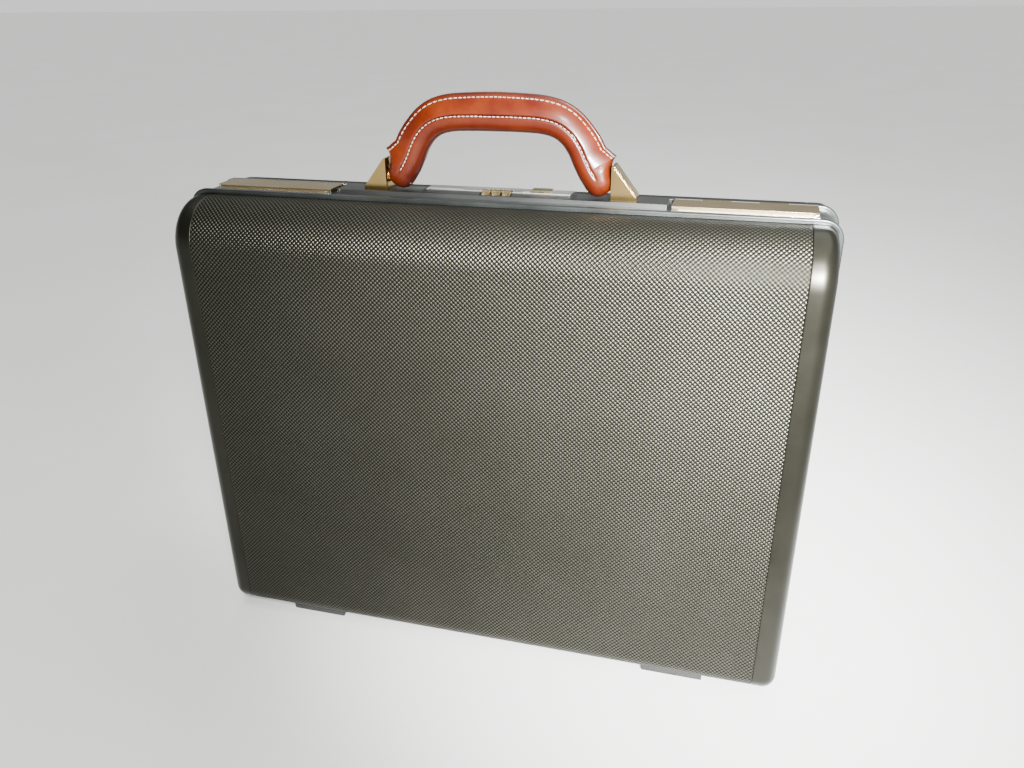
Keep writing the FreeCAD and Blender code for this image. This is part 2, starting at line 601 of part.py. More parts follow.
for side, way in SIDES.items():
    for half, arm in ((BASE, BASE_ARM), (LID, LID_ARM)):
        pin_y = half.at("stay_offset")
        plate = Piece(f"{half.name}_stay_bracket_{side}")
        start, end = half.between("stay_offset - stay_plate_width / 2", "stay_offset + stay_plate_width / 2")
        plate.add("YZ", *mirrored(way, f"{STAY_WALL_X} - stay_plate", STAY_WALL_X),
                  rectangle(start, end, f"{STAY_Z} - stay_plate_height / 2",
                            f"{STAY_Z} + stay_plate_height / 2"))
        plate.add("YZ", *mirrored(way, arm[0], f"{STAY_WALL_X} - stay_plate"),
                  circle(pin_y, STAY_Z, "stay_pin_radius"))
        bar = Piece(f"{half.name}_stay_arm_{side}")
        bar.add("YZ", *mirrored(way, *arm), circle(pin_y, STAY_Z, STAY_EYE))
        bar.add("YZ", *mirrored(way, *arm), arm_bar(pin_y, PARTING))
        bar.add("YZ", *mirrored(way, *arm), circle(PARTING, ELBOW_Z, STAY_EYE))
        room = "pin_clearance" if half is BASE else "elbow_clearance"
        bar.cut("YZ", *mirrored(way, *arm), circle(pin_y, STAY_Z, "stay_pin_radius + pin_clearance"),
                circle(PARTING, ELBOW_Z, f"stay_pin_radius + {room}"))
    pin = Piece(f"stay_elbow_pin_{side}")
    pin.add("YZ", *mirrored(way, f"{LID_ARM[0]} - 0.3", ARM_OUT), circle(PARTING, ELBOW_Z, "stay_pin_radius"))
    pin.add("YZ", *mirrored(way, f"{LID_ARM[0]} - 1.3", f"{LID_ARM[0]} - 0.3"),
            circle(PARTING, ELBOW_Z, "elbow_head"))

# ---------------------------------------------------------------- lock housing on the base's ring
HOUSING_FRONT = f"({PARTING} + housing_front)"
HOUSING_REAR = f"({HOUSING_FRONT} + housing_width)"
SLOPE_START = f"({HOUSING_FRONT} + lock_step)"
SLOPE_END = f"({SLOPE_START} + lock_slope)"
housing = Piece("lock_housing")
housing.add("XY", BAND_TOP, HOUSING_TOP,
            rectangle("-housing_length / 2", "housing_length / 2", HOUSING_FRONT, HOUSING_REAR))
housing.add("YZ", "-lock_length / 2", "lock_length / 2",
            polygon((SLOPE_START, HOUSING_TOP), (HOUSING_REAR, HOUSING_TOP),
                    (HOUSING_REAR, LOCK_TOP), (SLOPE_END, LOCK_TOP)))
housing.cut("XY", f"{BAND_TOP} - 1", f"{LOCK_TOP} + 1",
            rectangle("-(1.5 * dial_pitch + dial_room)", "1.5 * dial_pitch + dial_room",
                      f"{DIAL_Y} - dial_radius - dial_room", f"{DIAL_Y} + dial_radius + dial_room"))
for way in SIDES.values():
    start, end = mirrored(way, "1.5 * dial_pitch + dial_room", CHEEK_OUT)
    housing.add("YZ", start, end, rectangle(f"{DIAL_Y} - cheek_width / 2", f"{DIAL_Y} + cheek_width / 2",
                                            f"{DIAL_Z} - cheek_width / 2", f"{BAND_TOP} + 0.5"))
housing.cut("YZ", f"-{CHEEK_OUT} - 1", f"{CHEEK_OUT} + 1", circle(DIAL_Y, DIAL_Z, "axle_radius"))
housing.cut("XY", f"{BAND_TOP} - 1", f"{LOCK_TOP} + 1", POST_SLOT)
for place in SCREW_X:
    housing.cut("XY", f"{BAND_TOP} - 1", f"{HOUSING_TOP} + 1",
                circle(place, SCREW_Y, "screw_radius + pin_clearance"))

PLATE_REAR = f"({HOUSING_REAR} - lock_plate_inset)"
PLATE_FRONT = f"({PLATE_REAR} - lock_plate_width)"
plate = Piece("lock_plate")
plate.add("XY", LOCK_TOP, PLATE_TOP,
          rectangle("-lock_plate_length / 2", "lock_plate_length / 2", PLATE_FRONT, PLATE_REAR))
plate.cut("XY", LOCK_TOP, f"{PLATE_TOP} + 1", POST_SLOT)
DIAL_OUT = f"sqrt(dial_radius * dial_radius - ({LOCK_TOP} - {DIAL_Z}) * ({LOCK_TOP} - {DIAL_Z}))"
for number in (-1, 0, 1):
    start = f"{number} * dial_pitch - dial_width / 2 - window_gap"
    end = f"{number} * dial_pitch + dial_width / 2 + window_gap"
    window = rectangle(start, end, f"{DIAL_Y} - {DIAL_OUT} - dial_room", f"{DIAL_Y} + {DIAL_OUT} + dial_room")
    plate.cut("XY", LOCK_TOP, f"{PLATE_TOP} + 1", window)

PLATE_MIDDLE = f"(({PLATE_FRONT} + {PLATE_REAR}) / 2)"
name_plate = Piece("name_plate")
name_plate.add("XY", PLATE_TOP, f"{PLATE_TOP} + name_plate_wall",
               rectangle("name_plate_start", "name_plate_start + name_plate_length",
                         f"{PLATE_MIDDLE} - name_plate_width / 2", f"{PLATE_MIDDLE} + name_plate_width / 2"))

# the channel that closes the lock works towards the inside of the case
COVER_FRONT = f"({PARTING} + rim)"
COVER_REAR = f"({PARTING} + {BASE.frame} - slot_depth - web - cover_gap)"
cover = Piece("lock_cover")
cover.add("XY", COVER_LOW, SKIN_LOW, rectangle("-cover_left", "cover_right", COVER_FRONT, COVER_REAR))
cover.cut("XY", f"{COVER_LOW} + cover_wall", f"{SKIN_LOW} + 1",
          rectangle("-cover_left + cover_wall", "cover_right - cover_wall",
                    f"{COVER_FRONT} + cover_wall", f"{COVER_REAR} - cover_wall"))

# room for the dials to turn
DIAL_REACH = "(1.5 * dial_pitch + dial_room)"
cover.cut("YZ", f"-{DIAL_REACH}", DIAL_REACH, circle(DIAL_Y, DIAL_Z, "dial_radius + dial_room"))


# ---------------------------------------------------------------- dials
GRIP_COUNT = round(amount("dial_grip_count"))
GRIP_RIM = [circle(f"{DIAL_Y} + dial_radius * cos({number} * 360 / dial_grip_count)",
                   f"{DIAL_Z} + dial_radius * sin({number} * 360 / dial_grip_count)", "dial_grip_radius")
            for number in range(GRIP_COUNT)]
for number in (1, 2, 3):
    middle = f"({number - 2} * dial_pitch)"
    start, end = f"{middle} - dial_width / 2", f"{middle} + dial_width / 2"
    dial = Piece(f"dial_{number}")
    dial.add("YZ", start, end, circle(DIAL_Y, DIAL_Z, "dial_radius"))
    dial.cut("YZ", f"{start} - 1", f"{end} + 1", circle(DIAL_Y, DIAL_Z, "axle_radius + pin_clearance"))
    dial.cut("YZ", f"{start} - 1", f"{end} + 1", *GRIP_RIM)
axle = cylinder("dial_axle", "axle_radius", f"2 * {CHEEK_OUT}", f"-{CHEEK_OUT}", DIAL_Y, DIAL_Z, ALONG_X)
axle.Label = "dial_axle"
sub_parts.append(axle)

# ---------------------------------------------------------------- latches and strikes
PLATE_LOW = f"({BAND_TOP} + latch_lift)"
FLANGE_FRONT = f"({PARTING} - flange_reach - flange_wall)"
TAB_FRONT = f"({PARTING} + tab_depth)"
TAB_REAR = f"({TAB_FRONT} + tab_wall)"
LATCH_KNUCKLES = knuckle_stretches("latch_length", KNUCKLES, "knuckle_gap")
for side, way in SIDES.items():
    middle = f"({way} * (latch_inner + latch_length / 2))"
    start, end = f"{middle} - latch_length / 2", f"{middle} + latch_length / 2"
    latch = Piece(f"latch_plate_{side}")
    latch.add("XY", PLATE_LOW, f"{PLATE_LOW} + latch_wall", rectangle(start, end, FLANGE_FRONT, LATCH_PIN_Y))
    outer_end = end if way > 0 else start
    latch.round("latch_corner", along("z", x=(outer_end,), y=(FLANGE_FRONT,)))
    latch.add("XY", f"{BAND_TOP} + flange_gap", PLATE_LOW,
              rectangle(f"{middle} - latch_length / 2 + latch_corner",
                        f"{middle} + latch_length / 2 - latch_corner",
                        FLANGE_FRONT, f"{FLANGE_FRONT} + flange_wall"))
    for begin, finish in LATCH_KNUCKLES[0::2]:
        bay = rectangle(f"{middle} + {begin} - knuckle_gap", f"{middle} + {finish} + knuckle_gap",
                        f"{LATCH_PIN_Y} - latch_knuckle - 0.4", f"{LATCH_PIN_Y} + 1")
        latch.cut("XY", f"{PLATE_LOW} - 1", f"{PLATE_LOW} + latch_wall + 1", bay)
    for begin, finish in LATCH_KNUCKLES[1::2]:
        latch.add("YZ", f"{middle} + {begin}", f"{middle} + {finish}",
                  circle(LATCH_PIN_Y, LATCH_PIN_Z, "latch_knuckle"))
    latch.cut("YZ", f"{start} - 1", f"{end} + 1",
              circle(LATCH_PIN_Y, LATCH_PIN_Z, "latch_pin_radius + pin_clearance"))
    start, end = mirrored(way, "latch_inner + tab_inset", "latch_inner + tab_inset + tab_length")
    latch.add("XZ", TAB_FRONT, TAB_REAR,
              polygon((start, PLATE_LOW), (start, f"{TOE_LOW} + toe_height"),
                      (f"{start} - toe_reach", f"{TOE_LOW} + toe_height"), (f"{start} - toe_reach", TOE_LOW),
                      (end, TOE_LOW), (end, PLATE_LOW)))

    hinge = Piece(f"latch_hinge_{side}")
    seat_low = f"({BAND_TOP} - latch_seat)"
    hinge.add("XY", seat_low, f"{BAND_TOP} - 0.1",
              rectangle(f"{middle} - latch_length / 2", f"{middle} + latch_length / 2",
                        f"{LATCH_PIN_Y} - latch_seat_width / 2", f"{LATCH_PIN_Y} + latch_seat_width / 2"))
    for begin, finish in LATCH_KNUCKLES[0::2]:
        begin, finish = f"{middle} + {begin}", f"{middle} + {finish}"
        hinge.add("YZ", begin, finish,
                  rectangle(f"{LATCH_PIN_Y} - knuckle_block", f"{LATCH_PIN_Y} + knuckle_block",
                                                  seat_low, LATCH_PIN_Z))
        hinge.add("YZ", begin, finish, circle(LATCH_PIN_Y, LATCH_PIN_Z, "latch_knuckle"))
    hinge.cut("YZ", f"{middle} - latch_length / 2 - 1", f"{middle} + latch_length / 2 + 1",
              circle(LATCH_PIN_Y, LATCH_PIN_Z, "latch_pin_radius"))

    strike = Piece(f"strike_{side}")
    low = f"({BAND_TOP} - strike_seat)"
    front, land_end = f"({PARTING} - strike_reach)", f"({PARTING} - strike_reach + strike_land_width)"
    lip_front, lip_rear = f"({PARTING} - strike_gap - strike_lip_wall)", f"({PARTING} - strike_gap)"
    strike.add("YZ", f"{middle} - latch_length / 2", f"{middle} + latch_length / 2",
               polygon((front, low), (lip_rear, low), (lip_rear, f"{BAND_TOP} + strike_lip"),
                       (lip_front, f"{BAND_TOP} + strike_lip"), (lip_front, BAND_TOP), (land_end, BAND_TOP),
                       (land_end, f"{BAND_TOP} + strike_land"), (front, f"{BAND_TOP} + strike_land")))

    spring = Piece(f"latch_spring_{side}")
    bend_y, toe_y = f"({LATCH_PIN_Y} - spring_flat)", f"({LATCH_PIN_Y} - spring_reach)"
    heel_y = f"({LATCH_PIN_Y} - latch_seat_width / 2 - spring_gap)"
    rise = f"({BAND_TOP} + latch_lift - spring_gap)"
    spring.add("YZ", f"{middle} - spring_width / 2", f"{middle} + spring_width / 2",
               polygon((heel_y, BAND_TOP), (heel_y, f"{BAND_TOP} + spring_wall"),
                       (bend_y, f"{BAND_TOP} + spring_wall"),
                       (toe_y, rise), (toe_y, f"{rise} - spring_wall"), (bend_y, BAND_TOP)))

latch_pins = [cylinder(f"latch_pin_{side}", "latch_pin_radius", "latch_length",
                       mirrored(way, "latch_inner", "latch_inner + latch_length")[0],
                       LATCH_PIN_Y, LATCH_PIN_Z, ALONG_X) for side, way in SIDES.items()]
group("latch_pins", latch_pins)

# ---------------------------------------------------------------- lock bar and release button
BAR_LOW = f"({TOE_LOW} - bar_gap - bar_height)"
BAR_TOP = f"({BAR_LOW} + bar_height)"
PAWL_LOW = f"({TOE_LOW} + toe_height + pawl_gap)"
PAWL_TOP = f"({PAWL_LOW} + pawl_wall)"
RIGHT_NOSE = "(latch_inner + tab_inset - toe_reach + pawl_bite)"
LEFT_NOSE = "(-(latch_inner + tab_inset + tab_length) - toe_reach + pawl_bite)"
POST_START = "(button_start + post_inset)"
bar = Piece("lock_bar")
bar.add("XZ", TAB_FRONT, TAB_REAR,
        polygon((f"{LEFT_NOSE} - pawl_length - bar_height", BAR_LOW),
                (f"{RIGHT_NOSE} - pawl_length", BAR_LOW),
                (f"{RIGHT_NOSE} - pawl_length", PAWL_LOW), (RIGHT_NOSE, PAWL_LOW), (RIGHT_NOSE, PAWL_TOP),
                (f"{RIGHT_NOSE} - pawl_length - bar_height", PAWL_TOP),
                (f"{RIGHT_NOSE} - pawl_length - bar_height", BAR_TOP), (f"{LEFT_NOSE} - pawl_length",
                                                                        BAR_TOP),
                (f"{LEFT_NOSE} - pawl_length", PAWL_LOW), (LEFT_NOSE, PAWL_LOW), (LEFT_NOSE, PAWL_TOP),
                (f"{LEFT_NOSE} - pawl_length - bar_height", PAWL_TOP)))
bar.cut("YZ", f"-{DIAL_REACH}", f"{DIAL_REACH} + release_travel",
        circle(DIAL_Y, DIAL_Z, "dial_radius + dial_relief"))
bar.add("XY", BAR_LOW, BAR_TOP,
        rectangle(POST_START, f"{POST_START} + post_length", TAB_FRONT, f"{DIAL_Y} + post_wall / 2"))
bar.add("XY", BAR_LOW, f"{PLATE_TOP} + button_gap",
        rectangle(POST_START, f"{POST_START} + post_length", f"{DIAL_Y} - post_wall / 2",
                  f"{DIAL_Y} + post_wall / 2"))

button = Piece("release_button")
button.add("XY", f"{PLATE_TOP} + button_gap", f"{PLATE_TOP} + button_gap + button_height",
           rectangle("button_start", "button_start + button_length",
                     f"{PLATE_MIDDLE} - button_width / 2", f"{PLATE_MIDDLE} + button_width / 2"))
top = f"{PLATE_TOP} + button_gap + button_height"
button.round("button_height / 3", along("x", z=(top,)))

# the return spring between the cover's end wall and the bar, as a row of closed turns
COIL_TURNS = 6
COIL_START = "(-cover_left + cover_wall + coil_wire)"
COIL_END = f"({LEFT_NOSE} - pawl_length - bar_height - coil_wire)"
turns = []
for number in range(COIL_TURNS):
    turn = doc.addObject("Part::Torus", f"spring_turn_{number}")
    turn.Placement.Rotation = ALONG_X
    bind(turn, Radius1="coil_radius", Radius2="coil_wire",
         Placement__Base__x=f"{COIL_START} + {number} * ({COIL_END} - {COIL_START}) / {COIL_TURNS - 1}",
         Placement__Base__y=f"{TAB_FRONT} + tab_wall / 2", Placement__Base__z=f"{BAR_TOP} + coil_rise")
    turns.append(turn)
group("release_spring", turns)

# ---------------------------------------------------------------- handle brackets, screws, pins
for side, way in SIDES.items():
    inner, outer = f"{way} * bracket_inner", f"{way} * (bracket_inner + bracket_length)"
    crest = f"{way} * (bracket_inner + bracket_crest)"
    front = f"({PARTING} + bracket_front)"
    bracket_top = f"({HOUSING_TOP} + bracket_height)"
    bracket = Piece(f"handle_bracket_{side}")
    bracket.add("XZ", front, f"{front} + bracket_width",
                polygon((inner, HOUSING_TOP), (outer, HOUSING_TOP), (outer, f"{HOUSING_TOP} + bracket_toe"),
                        (crest, bracket_top), (inner, bracket_top)))
    deep = "bracket_groove_depth"
    bracket.cut("XZ", f"{front} + bracket_groove_inset", f"{front} + bracket_groove_inset + bracket_groove",
                polygon((f"{outer} + {way}", f"{HOUSING_TOP} + bracket_toe - {deep}"),
                        (f"{outer} + {way}", bracket_top),
                        (f"{crest} + {way}", f"{bracket_top} + 1"), (f"{crest} - {way} * {deep}",
                                                                     bracket_top),
                        (f"{outer} - {way} * {deep}", f"{HOUSING_TOP} + bracket_toe - {deep}")))
    start, end = mirrored(way, "bracket_inner - 1", "bracket_inner + handle_pin_seat")
    bracket.cut("YZ", start, end, circle(PIVOT_Y, PIVOT_Z, "handle_pin_radius + pin_clearance"))
    for place in [text for text in SCREW_X if text.startswith(f"{way} ")]:
        bracket.cut("XY", f"{HOUSING_TOP} - 1", f"{SKIN_LOW} + screw_length",
                    circle(place, SCREW_Y, "screw_radius + pin_clearance"))

screws = []
for number, place in enumerate(SCREW_X):
    shank = cylinder(f"screw_shank_{number}", "screw_radius", "screw_length - 0.1", place, SCREW_Y, SKIN_LOW,
                     UPRIGHT)
    head = cylinder(f"screw_head_{number}", "screw_head_radius", "screw_head_height",
                    place, SCREW_Y, f"{SKIN_LOW} - screw_head_height", UPRIGHT)
    screw = doc.addObject("Part::Fuse", f"screw_{number}")
    screw.Base = shank
    screw.Tool = head
    screws.append(screw)
group("bracket_screws", screws)

pivots = [cylinder(f"handle_pin_{side}", "handle_pin_radius", "handle_pin_length",
                   mirrored(way, "bracket_inner + handle_pin_seat - handle_pin_length",
                            "bracket_inner + handle_pin_seat")[0], PIVOT_Y, PIVOT_Z, ALONG_X)
          for side, way in SIDES.items()]
group("handle_pins", pivots)

bushings = []
for side, way in SIDES.items():
    start, _ = mirrored(way, "bracket_inner - bushing_length", "bracket_inner")
    ring = cylinder(f"bushing_ring_{side}", "bushing_radius", "bushing_length", start, PIVOT_Y, PIVOT_Z,
                    ALONG_X)
    bore = cylinder(f"bushing_bore_{side}", "handle_pin_radius + pin_clearance", "bushing_length + 2",
                    f"({start}) - 1", PIVOT_Y, PIVOT_Z, ALONG_X)
    bushing = doc.addObject("Part::Cut", f"handle_bushing_{side}")
    bushing.Base = ring
    bushing.Tool = bore
    bushings.append(bushing)
group("handle_bushings", bushings)

# ---------------------------------------------------------------- handle
GRIP_TOP = f"({SHELL_TOP} + handle_rise)"
GRIP_LOW = f"({GRIP_TOP} - handle_grip)"
CORE_TOP = f"({GRIP_LOW} + core_depth + handle_core_wall)"
CORE_FRONT = f"({PIVOT_Y} - handle_core_width / 2)"


def both_ways(corners):
    """An outline that is the same on both sides, from its right half, low inner point first."""
    right = [(f"({x})", z) for x, z in corners]
    left = [(f"-({x})", z) for x, z in reversed(corners)]
    return polygon(*right, *left)


core = Piece("handle_core")
core_foot = f"({PIVOT_Z} - core_drop)"
core_inside = "handle_leg - handle_core_wall"
core.add("XZ", CORE_FRONT, f"{CORE_FRONT} + handle_core_width",
         both_ways([("handle_leg - core_bend", f"{CORE_TOP} - handle_core_wall"),
                    (core_inside, f"{PIVOT_Z} + core_inner_rise"), (core_inside, core_foot),
                    ("handle_leg", core_foot), ("handle_leg", f"{PIVOT_Z} + core_outer_rise"),
                    ("handle_leg - core_shoulder", CORE_TOP)]))
for way in SIDES.values():
    start, end = mirrored(way, f"{core_inside} - 1", "handle_leg + 1")
    core.cut("YZ", start, end, circle(PIVOT_Y, PIVOT_Z, "handle_pin_radius + pin_clearance"))

COVER_NEAR = f"({PIVOT_Y} - handle_thickness / 2)"
leg_low = f"({PIVOT_Z} - handle_thickness / 2 + grip_end_trim)"
skin = Piece("handle_skin")
sub_parts.remove(skin.body)
skin.add("XZ", COVER_NEAR, f"{COVER_NEAR} + handle_thickness",
         both_ways([("handle_leg - grip_bend", GRIP_LOW),
                    ("handle_leg - grip_elbow", f"{GRIP_LOW} - grip_elbow_drop"),
                    ("handle_leg - grip_shin", f"{PIVOT_Z} + grip_shin_rise"), ("handle_leg - grip_toe",
                                                                                leg_low),
                    ("handle_leg + grip_heel", leg_low), ("handle_leg + grip_ankle",
                                                          f"{PIVOT_Z} + grip_ankle_rise"),
                    ("handle_fin", f"{SHELL_TOP} + handle_fin_rise"),
                    ("handle_leg - crown_shoulder", f"{GRIP_TOP} - crown_shoulder_drop"),
                    ("handle_leg - crown_bend", f"{GRIP_TOP} - crown_bend_drop"),
                    ("handle_leg - crown_flat", GRIP_TOP)]))
skin.round("handle_leg_rounding", along("x", z=(leg_low,)))
for way in SIDES.values():
    start, end = mirrored(way, f"{core_inside} - 1", "handle_fin + 1")
    skin.cut("YZ", start, end, circle(PIVOT_Y, PIVOT_Z, "handle_pin_radius + 2 * pin_clearance"))
handle_cover = doc.addObject("Part::Cut", "handle_cover")
handle_cover.Base = skin.body
handle_cover.Tool = core.body
handle_cover.Label = "handle_cover"
sub_parts.append(handle_cover)

# ---------------------------------------------------------------- organiser in the lid
organiser_back = LID.at("lid_depth - frame_reach - lining_wall")
organiser = Piece("lid_organiser")
organiser_reach = f"({HALF} - organiser_side_gap)"
organiser.add("XZ", organiser_back, f"{organiser_back} + organiser_wall",
              rounded(f"-{organiser_reach}", organiser_reach, f"{SHELL_LOW} + organiser_low_gap",
                      f"{SHELL_TOP} - organiser_top_gap", ("organiser_rounding",) * 4))

# ---------------------------------------------------------------- checks and files
doc.recompute()
for item in doc.Objects:
    if "Invalid" in item.State or "Error" in item.State:
        raise ValueError(f"{item.Label} could not be made: {item.State}")
for item in sub_parts:
    if item.Shape.isNull() or not item.Shape.isValid():
        raise ValueError(f"{item.Label} is not a valid shape")
os.makedirs("parts", exist_ok=True)
for item in sub_parts:
    item.Shape.exportStep(f"parts/{item.Label}.step")
whole = Part.makeCompound([item.Shape for item in sub_parts]).BoundBox
print(len(sub_parts), "sub-parts;", "size",
      [round(v, 1) for v in (whole.XLength, whole.YLength, whole.ZLength)])
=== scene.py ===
# %% [markdown]
# # An aluminium attache case with a stitched leather handle
#
# The case stands on its hinge side. Two embossed shells are closed by a dark frame,
# satin caps cover their ends, and the fittings sit along the top. The moving parts come
# from the frame, so this lesson only adds shapes and finishes to what is already there.

# %% Load the frame
import json
import math

import bmesh
import bpy
import numpy as np
from mathutils import Matrix, Vector


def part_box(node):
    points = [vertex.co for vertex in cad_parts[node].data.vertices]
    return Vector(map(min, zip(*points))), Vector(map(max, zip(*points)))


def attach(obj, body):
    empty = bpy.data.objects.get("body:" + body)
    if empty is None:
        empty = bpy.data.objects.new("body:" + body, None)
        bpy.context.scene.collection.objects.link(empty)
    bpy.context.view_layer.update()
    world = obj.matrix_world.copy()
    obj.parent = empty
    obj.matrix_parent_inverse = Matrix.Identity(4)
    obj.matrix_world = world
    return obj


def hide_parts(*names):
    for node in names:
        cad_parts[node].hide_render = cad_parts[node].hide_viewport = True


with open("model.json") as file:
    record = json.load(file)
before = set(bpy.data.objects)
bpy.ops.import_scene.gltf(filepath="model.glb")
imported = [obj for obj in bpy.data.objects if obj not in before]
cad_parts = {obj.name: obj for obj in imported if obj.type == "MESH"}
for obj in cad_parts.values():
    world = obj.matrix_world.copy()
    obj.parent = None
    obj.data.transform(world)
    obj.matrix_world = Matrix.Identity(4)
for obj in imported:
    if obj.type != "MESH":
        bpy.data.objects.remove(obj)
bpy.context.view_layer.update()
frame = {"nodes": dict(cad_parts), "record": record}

MM = 0.001
record = frame["record"]
BODY_OF = {node: body for body, nodes in record["behaviour"]["bodies"].items() for node in nodes}
SLOT_OF = {name: node.data.materials[0].name for name, node in frame["nodes"].items()}

# %% [markdown]
# ## The camera
#
# A camera can be aimed with angles or given the three directions of its picture. The
# second is plainer here: a matrix whose columns are right, up and backwards, and the place.

# %% Place the camera
LENS = 29.5
RIGHT = (0.96609, 0.25799, -0.01044)
DOWN = (0.09966, -0.40990, -0.90667)
AHEAD = (-0.23819, 0.87488, -0.42172)
STANDPOINT = (0.16265, -0.56487, 0.48025)

camera = bpy.data.objects.new("camera", bpy.data.cameras.new("camera"))
bpy.context.scene.collection.objects.link(camera)
columns = np.array([RIGHT, -np.array(DOWN), -np.array(AHEAD), STANDPOINT]).T
camera.matrix_world = Matrix([*map(tuple, columns), (0, 0, 0, 1)])
camera.data.lens = LENS
camera.data.sensor_width = 36
camera.data.clip_start = 0.01
bpy.context.scene.camera = camera
print("camera at", STANDPOINT, "with a lens of", LENS, "mm")

# %% [markdown]
# ## Shader maths as expressions
#
# Nodes are easy to read as sums. This class wraps a socket, so `1 - mask` or
# `wave * 0.5` adds the Math nodes, and one method, `node`, adds any other kind.


# %% A socket that can be added and multiplied
class Wire:
    """A socket of a node tree that stands in an expression."""

    def __init__(self, tree, socket=None):
        self.tree = tree
        self.socket = socket

    def node(self, kind, settings=None, links=None, output=0):
        """Adds a node: its settings come first, then the values or links of its sockets."""
        made = self.tree.nodes.new("ShaderNode" + kind)
        for name, value in (settings or {}).items():
            setattr(made, name, value)
        for key, value in (links or {}).items():
            join(self.tree, value, made.inputs[key])
        return Wire(self.tree, made.outputs[output])

    def math(self, operation, *values):
        return self.node("Math", {"operation": operation}, dict(enumerate(values)))

    def __add__(self, other):
        return self.math("ADD", self, other)

    def __sub__(self, other):
        return self.math("SUBTRACT", self, other)

    def __rsub__(self, other):
        return self.math("SUBTRACT", other, self)

    def __mul__(self, other):
        return self.math("MULTIPLY", self, other)

    __radd__ = __add__
    __rmul__ = __mul__

    def sin(self):
        return self.math("SINE", self)

    def cos(self):
        return self.math("COSINE", self)

    def between(self, low, high):
        """0 below low, 1 above high, and an even ramp from one to the other."""
        links = {"Value": self, "From Min": low, "From Max": high}
        return self.node("MapRange", {"clamp": True}, links)

    def blend(self, first, second):
        """The first colour where this is 0 and the second where it is 1."""
        return self.node("Mix", {"data_type": "RGBA"}, {0: self, 6: first, 7: second}, output=2)


def join(tree, value, target):
    """Links a Wire to a socket, or sets a plain value on it."""
    if isinstance(value, Wire):
        tree.links.new(value.socket, target)
    elif target.type == "RGBA":
        target.default_value = (*value, 1)
    else:
        target.default_value = value


# %% [markdown]
# ## A finish
#
# Each finish is one Principled shader. Values that are the same all over are set on its own
# sockets; only colour, roughness and the surface relief vary and are fed by expressions.


# %% Start a finish
FINISH = {}
CLOUD_ROUGHNESS = 0.6


def finish(name, **uniform):
    """A new material: returns a Wire that starts expressions, and a function that feeds the shader."""
    material = bpy.data.materials.new(name)
    material.use_nodes = True
    tree = material.node_tree
    shader = tree.nodes["Principled BSDF"]
    for key, value in uniform.items():
        join(tree, value, shader.inputs[key.replace("_", " ")])
    FINISH[name] = material

    def feed(**varying):
        for key, value in varying.items():
            join(tree, value, shader.inputs[key.replace("_", " ")])

    return Wire(tree), feed


def place_on(start):
    """The surface point's x, y and z in the object's own metres."""
    coordinates = start.node("TexCoord", output=3)
    return coordinates, [start.node("SeparateXYZ", {}, {0: coordinates}, output=i) for i in range(3)]


def cloud(start, coordinates, scale, detail=3.0):
    """Soft noise from 0 to 1, with about this many blotches to a metre."""
    links = {"Vector": coordinates, "Scale": scale, "Detail": detail, "Roughness": CLOUD_ROUGHNESS}
    return start.node("TexNoise", {}, links)


def relief(start, height, distance):
    """The surface direction after pressing this height, from 0 to 1, to a depth in metres."""
    return start.node("Bump", {}, {"Height": height, "Distance": distance, "Strength": 1.0})


# %% [markdown]
# ## The embossed lacquered aluminium
#
# The sheet is rolled with small round tipped lozenges, row after row, each row half a
# pitch along. The map gives places in pitches, so the product of two cosines is 1 on each
# lozenge and -1 in each gap. The gaps are painted almost black as shade between the
# lozenges, which makes the tops look lighter; the tops are also smoother, and lighter in
# scuffed patches.

# %% Embossed shell and satin caps
OLIVE = (0.054, 0.0535, 0.040)
OLIVE_WORN = (0.074, 0.073, 0.057)
# Near-black painted shade for the gaps between the lozenges.
OLIVE_GAP_PAINTED_SHADE = (0.006, 0.006, 0.004)

start, feed = finish("embossed_shell", Metallic=0.9)
pitches = start.node("UVMap", {"uv_map": "pitches"})
across, along = (start.node("SeparateXYZ", {}, {0: pitches}, output=i) for i in range(2))
lozenge = (across * (2 * math.pi)).cos() * (along * (2 * math.pi)).cos()
dome = lozenge.between(-0.75, 1.0)
coordinates, _ = place_on(start)
mottle = cloud(start, coordinates, 900)
scuff = cloud(start, coordinates, 14, 6)
top = lozenge.between(-0.35, 0.65)
# Painted shade: where top falls to 0 in the gaps the colour goes near black; on the tops, scuffs vary the
# olive.
tone = top.blend(OLIVE_GAP_PAINTED_SHADE, scuff.between(0.3, 0.75).blend(OLIVE, OLIVE_WORN))
feed(
    Base_Color=tone,
    Roughness=0.46 - 0.14 * top + 0.05 * mottle,
    Normal=relief(start, dome + 0.02 * mottle, 0.50 * MM),
)

start, feed = finish("satin_cap", Metallic=0.85, Coat_Weight=0.12, Coat_Roughness=0.25)
coordinates, _ = place_on(start)
grain = cloud(start, coordinates, 2600, 2)
scuff = cloud(start, coordinates, 22, 6)
feed(
    Base_Color=scuff.between(0.3, 0.75).blend((0.012, 0.012, 0.008), (0.020, 0.0195, 0.0135)),
    Roughness=0.27 + 0.08 * scuff + 0.05 * grain,
    Normal=relief(start, grain, 0.012 * MM),
)
print("shell finishes ready")

# %% [markdown]
# ## Anodised frame, plated steel and gilt fittings
#
# A brushed metal shows fine lines along one direction, and they vary the roughness more than
# the colour. They could be cut into the mesh, but at this size only the finish needs them, so
# they are noise that changes slowly along the lines and fast across them. The triples below
# say how fast along x, y and z.

# %% Brushed and plated metals
DRAWN = (30, 1600, 1600)
ROLLED = (25, 1500, 25)
DRAWN_DEPTH = 0.002 * MM


